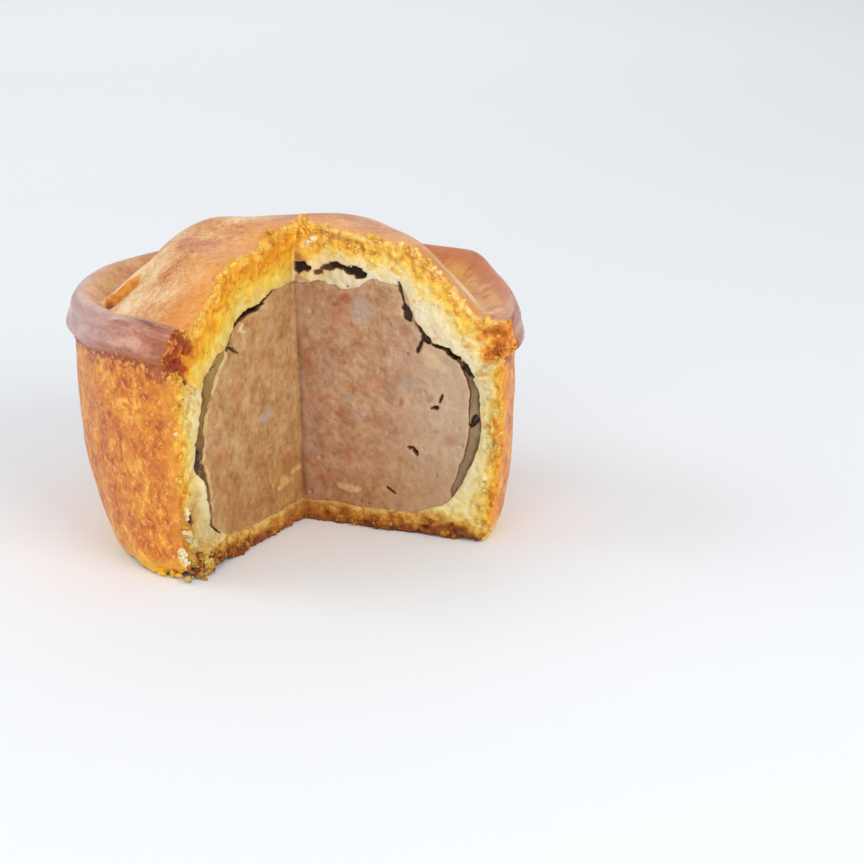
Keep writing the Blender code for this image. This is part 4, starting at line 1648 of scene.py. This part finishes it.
@dataclass(frozen=True)
class PastryFinish:
    """Baked skin outside and golden to cream crumb where cut, for the crust and its crumbs."""

    # depths under the skin, in millimetres, at which the crumb's ramps end
    lid_reach: float = 12.0
    wall_reach: float = 7.0
    lid: Stops = (
        (0.28, "#BA642C"), (0.40, "#CE8846"), (0.52, "#DCA060"), (0.64, "#E8BA82"),
        (0.80, "#F4D6AA"),
    )
    lid_near: Colour = "#E28C12"
    lid_fleck: Colour = "#C6642A"
    # painted highlight along the fold's crest
    fold_highlight: Colour = "#EED0B0"
    flange: Stops = (
        (0.32, "#AC5622"), (0.42, "#C27434"), (0.52, "#D4904A"), (0.62, "#E2AA62"),
        (0.72, "#EEC480"),
    )
    flange_gold: Colour = "#E0A03C"
    flange_red: Colour = "#BE682E"
    flange_pale: Colour = "#E8B88A"
    rim: Stops = (
        (0.30, "#6A2E18"), (0.42, "#A05C3E"), (0.54, "#B87B61"), (0.66, "#CD9881"),
        (0.78, "#E6C2B0"),
    )
    rim_low: Colour = "#AC5828"
    # painted highlight on the rim's far left
    rim_far_highlight: Colour = "#CEACAA"
    rim_near: Colour = "#A0542E"
    rim_red: Colour = "#C87648"
    rim_line: Colour = "#8C4E3C"
    rim_speck: Colour = "#783E22"
    wall: Stops = (
        (0.28, "#AA4402"), (0.40, "#C8660A"), (0.50, "#D47B10"), (0.60, "#DE8E1C"),
        (0.74, "#F2B442"),
    )
    wall_fleck: Colour = "#F6C874"
    wall_red: Colour = "#BE541E"
    wall_near: Colour = "#E8A02C"
    foot: Colour = "#FAC632"
    # painted shadow under the foot's lifted edge
    underside_shadow: Colour = "#703810"
    # scorched crust and painted shadow under the rim
    scorch_and_shadow: Colour = "#963A08"
    scorch_pale: Colour = "#ECA85C"
    gold: Colour = "#CC7004"
    gold_pale: Colour = "#E09422"
    # painted shade at the pocket's deep end
    gold_shadow: Colour = "#885012"
    # browned crumb, also painted shade in a few spots
    browned_and_shaded: Colour = "#AA5E12"
    lid_crumb: Stops = (
        (0.00, "#FCDE96"), (0.05, "#FCD882"), (0.12, "#FAC04C"), (0.20, "#FCD258"),
        (0.34, "#FADC74"), (0.46, "#F0E0A6"), (0.62, "#E6DDBE"), (0.85, "#E4D9BE"),
    )
    # painted warm bounce light on the left face
    lid_crumb_warm: Stops = (
        (0.00, "#F8D678"), (0.05, "#F6CE5C"), (0.12, "#EEAC2A"), (0.24, "#ECA814"),
        (0.44, "#EAB82C"), (0.62, "#E4C654"), (0.85, "#DEC87A"),
    )
    # painted shade between clumps
    lid_crumb_clump_shade: Colour = "#D88612"
    wall_crumb: Stops = (
        (0.00, "#E49832"), (0.09, "#EAB240"), (0.20, "#EECA54"), (0.42, "#EAD378"),
        (0.70, "#E6D894"), (0.90, "#E3D5A2"),
    )
    # painted shade on the left face
    wall_crumb_left_shade: Colour = "#E2DBD4"
    wall_crumb_cream: Colour = "#E4DDC2"
    speckle: Stops = ((0.36, "#E0BC92"), (0.50, "#FDF8F0"), (0.62, "#FFFFFF"))
    base_crumb: Stops = (
        (0.00, "#723606"), (0.12, "#8E4E0A"), (0.28, "#AE7018"), (0.46, "#C49030"),
        (0.64, "#D4AE58"), (0.84, "#DAC27A"),
    )
    base_corner: Colour = "#A45E0A"
    rim_crumb: Stops = (
        (0.00, "#E8A460"), (0.05, "#CC7228"), (0.12, "#8E3806"), (0.40, "#AA4C04"),
        (0.60, "#D47E0A"), (0.80, "#EEB432"),
    )
    rim_crumb_right: Stops = (
        (0.00, "#F2BA64"), (0.10, "#E29034"), (0.26, "#C46C20"), (0.44, "#E2922C"),
        (0.62, "#F0B242"), (0.85, "#F4C860"),
    )
    white: Colour = "#F4E2BA"
    # tints by tone: random per clump and darker in pits, whose warm dark end paints their shade
    light: Stops = ((0.0, "#DEB88A"), (0.36, "#F6EEDE"), (1.0, "#FFFFFF"))
    inner_smear: Colour = "#D4C08A"
    # painted shade at the edges of hollows and inside them
    hollow_edge_shade: Colour = "#7A4C2A"
    hollow: Colour = "#2C1408"

    def _lid(self, paint: Painter, near: Field) -> Field:
        """Colour of the lid and of the hollow ring between it and the rim, with a painted highlight
        on the fold and painted shade at the pocket's deep end.
        """
        place, right = paint.stored("place"), self._right(paint)
        lower = (place.band(0.25, 0.75) - 0.30) * 0.15
        fine = paint.swing(0.0012, 0.60) + paint.swing(0.0005, 0.45, 2.0)
        lid = (paint.noise(0.0085, 3.0, 0.5) + lower + fine).ramp(self.lid)
        lid = lid.mixed(near.band(12.0, 0.5) * 0.78, self.lid_near)
        flecks = paint.noise(0.0010, 2.0, 0.5).band(0.58, 0.66) * near.band(12.0, 1.0)
        lid = lid.mixed(flecks * 0.55, self.lid_fleck)
        ring = (paint.noise(0.0050, 3.0, 0.6) + paint.swing(0.0012, 0.5)).ramp(self.flange)
        golden = paint.noise(0.0065, 2.0, 0.5).band(0.40, 0.54) * right
        ring = ring.mixed(golden * 0.8, self.flange_gold)
        ring = ring.mixed(place.band(1.09, 1.15) * right * 0.8, self.flange_red)
        ring = ring.mixed(near.band(14.0, 22.0) * (1.0 - right) * 0.4, self.flange_pale)
        lid = lid.mixed(place.band(0.96, 1.06), ring)
        # a pale painted highlight along the crest of the fold
        fold = paint.stored("fold") + paint.swing(0.0022, 0.35)
        lid = lid.mixed(fold.band(0.15, 0.85) * 0.75, self.fold_highlight)
        lining = paint.stored("lining") + paint.swing(0.0016, 0.45)
        gold = paint.noise(0.0016, 3.0, 0.6).band(0.42, 0.60).between(self.gold, self.gold_pale)
        # the pocket's lining is golden, and where it runs over 1, at the deep outer end, painted
        # shade darkens it
        return lid.mixed(lining.band(0.34, 0.52), gold.mixed(lining.band(0.8, 1.7), self.gold_shadow))

    @staticmethod
    def _right(paint: Painter) -> Field:
        """1 on the far right of the pie, 0 on the left and near the right cut."""
        along = paint.stored("along", "Vector").part("X")
        return along.band(0.080, 0.055) * along.band(-0.024, -0.012)

    def _rim(self, paint: Painter, near: Field) -> Field:
        """Colour of the rim: mauve brown with lines along it, browner below and near the cuts, with
        a painted highlight on its far left.
        """
        along = paint.stored("along", "Vector")
        streaks = paint.noise(0.0032, 4.0, 0.60, along.stretched((0.30, 1.0, 1.0)), 0.5)
        rim = (streaks + paint.swing(0.0009, 0.30)).ramp(self.rim)
        # a painted highlight: the pale sheen of the bright room on the rim's far left
        far = near.band(8.0, 28.0) * along.part("X").band(0.095, 0.130)
        rim = rim.mixed(far * 0.6, self.rim_far_highlight)
        rim = rim.mixed(self._right(paint) * 0.6, self.rim_red)
        rim = rim.mixed(near.band(9.0, 0.5) * 0.55, self.rim_near)
        low = (paint.stored("place") + paint.swing(0.003, 0.15)).band(1.66, 1.86)
        rim = rim.mixed(low * 0.75, self.rim_low)
        lines = paint.noise(0.0011, 2.0, 0.5, along.stretched((0.10, 1.0, 1.0)), 0.5)
        rim = rim.mixed(lines.band(0.56, 0.68) * 0.25, self.rim_line)
        return rim.mixed(paint.noise(0.0012, 1.0, 0.5).band(0.70, 0.76) * 0.6, self.rim_speck)

    def _wall(self, paint: Painter, near: Field) -> Field:
        """Colour of the wall: orange with flecks, scorched and with painted shadow under the rim,
        golden at the foot and with painted shadow under its lifted edge.
        """
        place = paint.stored("place")
        upright = paint.place.stretched((1.0, 1.0, 0.85))
        speckle = (paint.noise(0.0012, 4.0, 0.7, upright, 0.6) - 0.5) * 0.85
        wall = (paint.noise(0.0045, 3.0, 0.6, None, 0.6) + speckle).ramp(self.wall)
        flecks = paint.noise(0.00085, 3.0, 0.6, upright, 0.8).band(0.56, 0.66)
        wall = wall.mixed(flecks * 0.55, self.wall_fleck)
        reddish = place.band(2.20, 1.98) * 0.22 + 0.26
        patches = paint.noise(0.0030, 4.0, 0.7, upright, 0.5).band(0.50, 0.62)
        wall = wall.mixed(patches * reddish, self.wall_red)
        wall = wall.mixed(near.band(5.0, 0.3) * 0.45, self.wall_near)
        wall = wall.mixed(place.band(2.72, 2.97) * 0.75, self.foot)
        # painted shadow under the foot's lifted edge
        wall = wall.mixed(place.band(3.005, 3.03), self.underside_shadow)
        # a ragged dark line under the rim: scorched crust and painted shadow of its overhang
        ragged = place + paint.swing(0.0022, 0.16, 5.0) - near.band(16.0, 2.0) * 0.012
        wall = wall.mixed(ragged.band(2.030, 1.995) * 0.85, self.scorch_and_shadow)
        pale = place.band(2.07, 2.0) * paint.noise(0.0011, 2.0, 0.5).band(0.54, 0.62)
        return wall.mixed(pale * 0.75, self.scorch_pale)

    def _skin(self, paint: Painter) -> Field:
        """Colour of the outside: glazed lid, mauve rim, mottled wall."""
        place, near = paint.stored("place"), paint.stored("near")
        top = self._lid(paint, near).mixed(place.band(1.12, 1.30), self._rim(paint, near))
        lower = (place + paint.swing(0.003, 0.10)).band(1.84, 1.88)
        return top.mixed(lower, self._wall(paint, near))

    def _crumb(self, paint: Painter) -> Field:
        """Colour of cut pastry by its depth under the skin: golden yellow, then cream."""
        place, tone, depth = (paint.stored(name) for name in ("place", "tone", "depth"))
        across = paint.place.part("X")
        left, aside = across.band(0.0003, -0.0006), abs(across - 0.001)
        stray = paint.swing(0.0026, 6.5) + paint.swing(0.0008, 3.0, 2.0) + (tone - 0.5) * 2.4
        strayed = depth + stray * depth.band(0.0, 1.6)
        share = strayed / self.lid_reach - aside.band(0.006, 0.001) * depth.band(2.0, 5.0) * 0.20
        # the left face's lid crumb takes a warmer copy, painted warm bounce light, with orange
        # patches of painted shade between clumps
        orange = paint.noise(0.0034, 4.0, 0.65).band(0.50, 0.62) * 0.32
        warm_bounce = share.ramp(self.lid_crumb_warm).mixed(orange, self.lid_crumb_clump_shade)
        lid = share.ramp(self.lid_crumb).mixed(left.most(across.band(0.011, 0.0) * 0.30), warm_bounce)
        thin = strayed / self.wall_reach
        wall = thin.ramp(self.wall_crumb)
        # painted shade: the left face's lower wall crumb is dimmed
        wall = wall.mixed(left * place.band(2.30, 2.65), wall.tinted(self.wall_crumb_left_shade))
        cream = (1.0 - left) * strayed.band(1.2, 3.6) * place.band(2.7, 2.3) * 0.5
        wall = wall.mixed(cream, self.wall_crumb_cream)
        base = thin.ramp(self.base_crumb).mixed(aside.band(0.009, 0.001) * 0.6, self.base_corner)
        rim = left.between(thin.ramp(self.rim_crumb_right), thin.ramp(self.rim_crumb))
        rim_zone = place.band(1.12, 1.32) * place.band(2.04, 1.9) * depth.band(5.6, 3.6)
        colour = lid.mixed(place.band(1.7, 2.1), wall).mixed(place.band(2.85, 3.05), base)
        return colour.mixed(rim_zone, rim).mixed(depth.band(20.0, 26.0), self.white)

    def material(self) -> bpy.types.Material:
        """Skin where the surface is whole, crumb where it is cut, darkened in the hollows by
        painted shade.
        """
        paint = Painter("baked_pastry")
        place, cut = paint.stored("place"), paint.stored("cut").band(0.35, 0.6)
        smeared = paint.stored("inner").band(0.9, 0.1) * 0.25
        crumb = self._crumb(paint).mixed(smeared, self.inner_smear)
        # brown spots: browned crumb, and painted shade over the slot and in a groove
        crumb = crumb.mixed(paint.stored("brown"), self.browned_and_shaded)
        crumb = crumb.tinted(paint.stored("tone").ramp(self.light))
        speckled = crumb.tinted(paint.noise(0.0014, 3.0, 0.6).ramp(self.speckle))
        crumb = crumb.mixed(paint.stored("depth").band(6.5, 2.5) * 0.8, speckled)
        colour = paint.hollow_shaded(self._skin(paint).mixed(cut, crumb), self.hollow_edge_shade, self.hollow)
        satin = place.band(1.15, 1.3) * place.band(1.9, 1.84) * -0.18
        gloss = satin + 0.42 + paint.swing(0.004, 0.20)
        grain = paint.bump(paint.noise(0.00042, 3.0, 0.7), 0.00030, cut * 0.50 + 0.30)
        return paint.finish(
            Base_Color=colour,
            Roughness=gloss.most(cut * 0.85),
            Normal=paint.bump(paint.noise(0.0015, 3.0, 0.6), 0.00035, 0.5, grain),
            Subsurface_Weight=0.10,
            Subsurface_Radius=(1.0, 0.6, 0.3),
            Subsurface_Scale=0.0015,
        )


@dataclass(frozen=True)
class PorkFinish:
    """Coarse cooked pork: pinkish beige mince with red flecks, grey patches and pale fat."""

    mince: Stops = (
        (0.26, "#8C5A38"), (0.40, "#A4754E"), (0.52, "#B38862"), (0.64, "#BD9977"),
        (0.80, "#CCAE8E"),
    )
    pink: Colour = "#B8765E"
    lilac: Colour = "#B49E96"
    red: Colour = "#A6543C"
    grey: Colour = "#AA9E98"
    fat: Colour = "#CEB48E"
    outer: Colour = "#C2AC92"
    # painted warm bounce light on the left face
    warm_bounce: Colour = "#FEFFE0"
    low: Colour = "#EEE0CC"
    border: Colour = "#D8C08E"
    pale: Colour = "#DEC492"
    # painted shade in the corner's crease
    crease: Colour = "#785034"
    # painted shade at the edges of hollows and inside them
    hollow_edge_shade: Colour = "#704626"
    hollow: Colour = "#32180A"

    def material(self) -> bpy.types.Material:
        """Mixes the tones by noise of several sizes, pales the border, paints warm bounce light on
        the left face and painted shade in the corner's crease and the hollows.
        """
        paint = Painter("cooked_pork")
        aside, height = paint.stored("aside"), paint.place.part("Z")
        across = (aside * 0.0009).most(aside * 0.0006).least(aside * 0.0009)
        face = paint.joined(across, 0.0, height)
        coarse = paint.noise(0.0050, 5.0, 0.66, face) + paint.swing(0.0013, 0.50)
        colour = coarse.ramp(self.mince)
        for size, low, high, strength, tone in (
            (0.0060, 0.50, 0.70, 0.45, self.pink),
            (0.0046, 0.52, 0.78, 0.45, self.lilac),
            (0.0022, 0.60, 0.76, 0.55, self.red),
            (0.0013, 0.62, 0.78, 0.35, self.fat),
        ):
            spots = paint.noise(size, 3.0, 0.6, paint.joined(across, 9.0 * size, height), 0.3)
            colour = colour.mixed(spots.band(low, high) * strength, tone)
        colour = colour.mixed(aside.band(14.0, 32.0) * 0.55, self.outer)
        edge = paint.stored("border").band(0.8, 0.1) * (aside.band(-14.0, -24.0) * 0.55 + 0.12)
        edge *= paint.noise(0.0032, 2.0, 0.5, face).band(0.36, 0.58)
        colour = colour.mixed(edge, self.border)
        colour = colour.mixed(paint.stored("pale") * 0.75, self.pale)
        # painted warm bounce light on the left face
        colour = colour.mixed(aside.band(0.3, -0.3), colour.tinted(self.warm_bounce))
        colour = colour.mixed(height.band(0.026, 0.008), colour.tinted(self.low))
        colour = colour.mixed(paint.stored("red"), self.red).mixed(paint.stored("grey"), self.grey)
        # painted shade in the crease of the corner between the cuts, on the right face
        crease = aside.band(1.4, 0.3) * 0.28 + aside.band(10.0, 3.0) * 0.18
        colour = colour.mixed(aside.band(-0.05, 0.15) * crease, self.crease)
        fine = paint.bump(paint.noise(0.00055, 3.0, 0.65), 0.00018, 0.7)
        return paint.finish(
            Base_Color=paint.hollow_shaded(colour, self.hollow_edge_shade, self.hollow),
            Roughness=0.55,
            Normal=paint.bump(paint.noise(0.0020, 3.0, 0.6), 0.0004, 0.3, fine),
            Subsurface_Weight=0.12,
            Subsurface_Radius=(1.0, 0.45, 0.3),
            Subsurface_Scale=0.002,
        )


@dataclass(frozen=True)
class JellyFinish:
    """Moist set jelly, olive brown and darker towards the foot and the right, with a painted shadow
    line along the crust.
    """

    tones: Stops = (
        (0.16, "#6A4E18"), (0.30, "#704C1C"), (0.38, "#543410"), (0.47, "#522E0E"),
        (0.54, "#7A5224"), (0.64, "#82602A"), (0.76, "#907336"), (0.90, "#9E8044"),
    )
    tones_right: Stops = (
        (0.30, "#866A46"), (0.56, "#967A54"), (0.70, "#704E2E"), (0.78, "#54321C"),
    )
    # painted shadow line along the crust
    crust_shadow: Colour = "#462812"
    # painted shade at the edges of hollows and inside them
    hollow_edge_shade: Colour = "#704626"
    hollow: Colour = "#32180A"
    # the height in metres at which the ramps end
    height: float = 0.050

    def material(self) -> bpy.types.Material:
        """A smooth glossy surface whose tone follows its height."""
        paint = Painter("moist_jelly")
        strayed = paint.place.part("Z") / self.height + paint.swing(0.0030, 0.22)
        right = paint.place.part("X").band(0.0, 0.004)
        colour = right.between(strayed.ramp(self.tones), strayed.ramp(self.tones_right))
        # a painted shadow line along the crust's side of the band
        crust_shadow = paint.stored("across") + paint.swing(0.002, 0.9)
        colour = colour.mixed(crust_shadow.band(0.40, 0.05) * 0.8, self.crust_shadow)
        return paint.finish(
            Base_Color=paint.hollow_shaded(colour, self.hollow_edge_shade, self.hollow),
            Roughness=0.32,
            Normal=paint.bump(paint.noise(0.0015, 2.0, 0.5), 0.0002, 0.6),
            Coat_Weight=0.08,
            Subsurface_Weight=0.2,
            Subsurface_Radius=(1.0, 0.7, 0.35),
            Subsurface_Scale=0.002,
        )


@dataclass(frozen=True)
class Softbox:
    """A square soft light: where it hangs from the pie, its side and its power."""

    name: str
    place: tuple[float, float, float]
    side: float
    power: float


@dataclass
class Studio:
    """Pale floor, soft lights and the camera.

    The camera's distance and rise are counted in rim radii from the foot of the pie's axis, and its
    azimuth, heading and dip in degrees.
    """

    axis: Array
    radius: float
    distance: float = 9.0
    rise: float = 3.212
    camera_azimuth: float = 253.97
    heading: float = 70.34
    dip: float = 17.395
    focal_share: float = 2.486226851851852
    sensor: float = 36.0
    floor_half: float = 4.0
    floor_tones: Stops = ((0.3, "#EEF0F2"), (0.7, "#F3F5F7"))
    ambient: float = 0.60
    ambient_colour: tuple[float, ...] = (0.95, 0.97, 1.0, 1.0)
    aim_height: float = 30.0 * MM
    lights: tuple[Softbox, ...] = (
        Softbox("key_light", (-0.75, 0.35, 0.65), 0.60, 2.5),
        Softbox("back_light", (0.25, 1.00, 0.55), 0.80, 1.5),
        Softbox("front_left_light", (-0.55, -0.95, 0.55), 0.80, 4.0),
        Softbox("front_right_light", (0.45, -1.00, 0.50), 0.80, 7.5),
    )

    def floor(self) -> bpy.types.Object:
        """A wide plain floor."""
        half = self.floor_half
        points = np.array([(-half, -half, 0), (half, -half, 0), (half, half, 0), (-half, half, 0)])
        made = mesh_object("floor", points, np.array([[0, 1, 2, 3]]))
        paint = Painter("pale_floor")
        tint = paint.noise(0.6, 2.0).ramp(self.floor_tones)
        made.data.materials.append(paint.finish(Base_Color=tint, Roughness=0.75))
        return made

    def hang_lights(self) -> None:
        """Hangs the softboxes, all turned to the pie, and lights the room evenly."""
        for box in self.lights:
            data = bpy.data.lights.new(box.name, "AREA")
            data.shape = "SQUARE"
            data.size = box.side
            data.energy = box.power
            lamp = bpy.data.objects.new(box.name, data)
            bpy.context.scene.collection.objects.link(lamp)
            lamp.location = Vector(self.axis) + Vector(box.place)
            aim = Vector(self.axis) + Vector((0, 0, self.aim_height)) - lamp.location
            lamp.rotation_euler = aim.to_track_quat("-Z", "Y").to_euler()
        world = bpy.data.worlds.new("studio")
        world.use_nodes = True
        background = world.node_tree.nodes["Background"]
        background.inputs["Color"].default_value = self.ambient_colour
        background.inputs["Strength"].default_value = self.ambient
        bpy.context.scene.world = world
        bpy.context.scene.view_settings.view_transform = "Standard"

    def camera(self) -> bpy.types.Object:
        """The camera, a few rim radii away and looking down at the pie past its right side."""
        data = bpy.data.cameras.new("camera")
        data.sensor_width = self.sensor
        data.lens = self.focal_share * self.sensor
        made = bpy.data.objects.new("camera", data)
        bpy.context.scene.collection.objects.link(made)
        turn = math.radians(self.camera_azimuth)
        level = math.cos(turn) * self.distance, math.sin(turn) * self.distance
        made.location = self.axis + np.array([*level, self.rise]) * self.radius
        made.rotation_euler = (math.radians(90 - self.dip), 0.0, math.radians(self.heading - 90))
        bpy.context.scene.camera = made
        return made


def adopt(piece: bpy.types.Object, material: bpy.types.Material, slot: str, *nodes: str) -> None:
    """Gives a piece its finish and body, and lets it stand for CAD nodes where named."""
    piece.data.materials.append(material)
    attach(piece, "root")
    if nodes:
        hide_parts(*nodes)
    triangles = sum(len(p.vertices) - 2 for p in piece.data.polygons)
    log.info("%s: %d points, %d triangles", piece.name, len(piece.data.vertices), triangles)


def main() -> None:
    """Builds the pie over its frame, dresses it and sets up the studio."""
    logging.basicConfig(level=logging.INFO, format="%(message)s", stream=sys.stdout)
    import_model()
    shape = PieShape()
    axis = shape.axis_place(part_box("crust")[0])
    studio = Studio(axis, shape.rim_radius)
    studio.camera()
    studio.hang_lights()
    studio.floor()

    relief = CutRelief()
    pastry = PastryFinish().material()
    crust = Crust(shape, relief, axis)
    adopt(crust.build(), pastry, "crust", "crust")
    adopt(Jelly(shape, relief, axis).build(), JellyFinish().material(), "jelly", "jelly")
    adopt(Filling(shape, relief, axis).build(), PorkFinish().material(), "filling", "filling")
    crumbs = Crumbs(crust)
    for grow in (crumbs.edge_grains, crumbs.face_grains, crumbs.chosen_bits, crumbs.foot_grains):
        adopt(grow(), pastry, "crust")


if __name__ == "__main__":
    main()
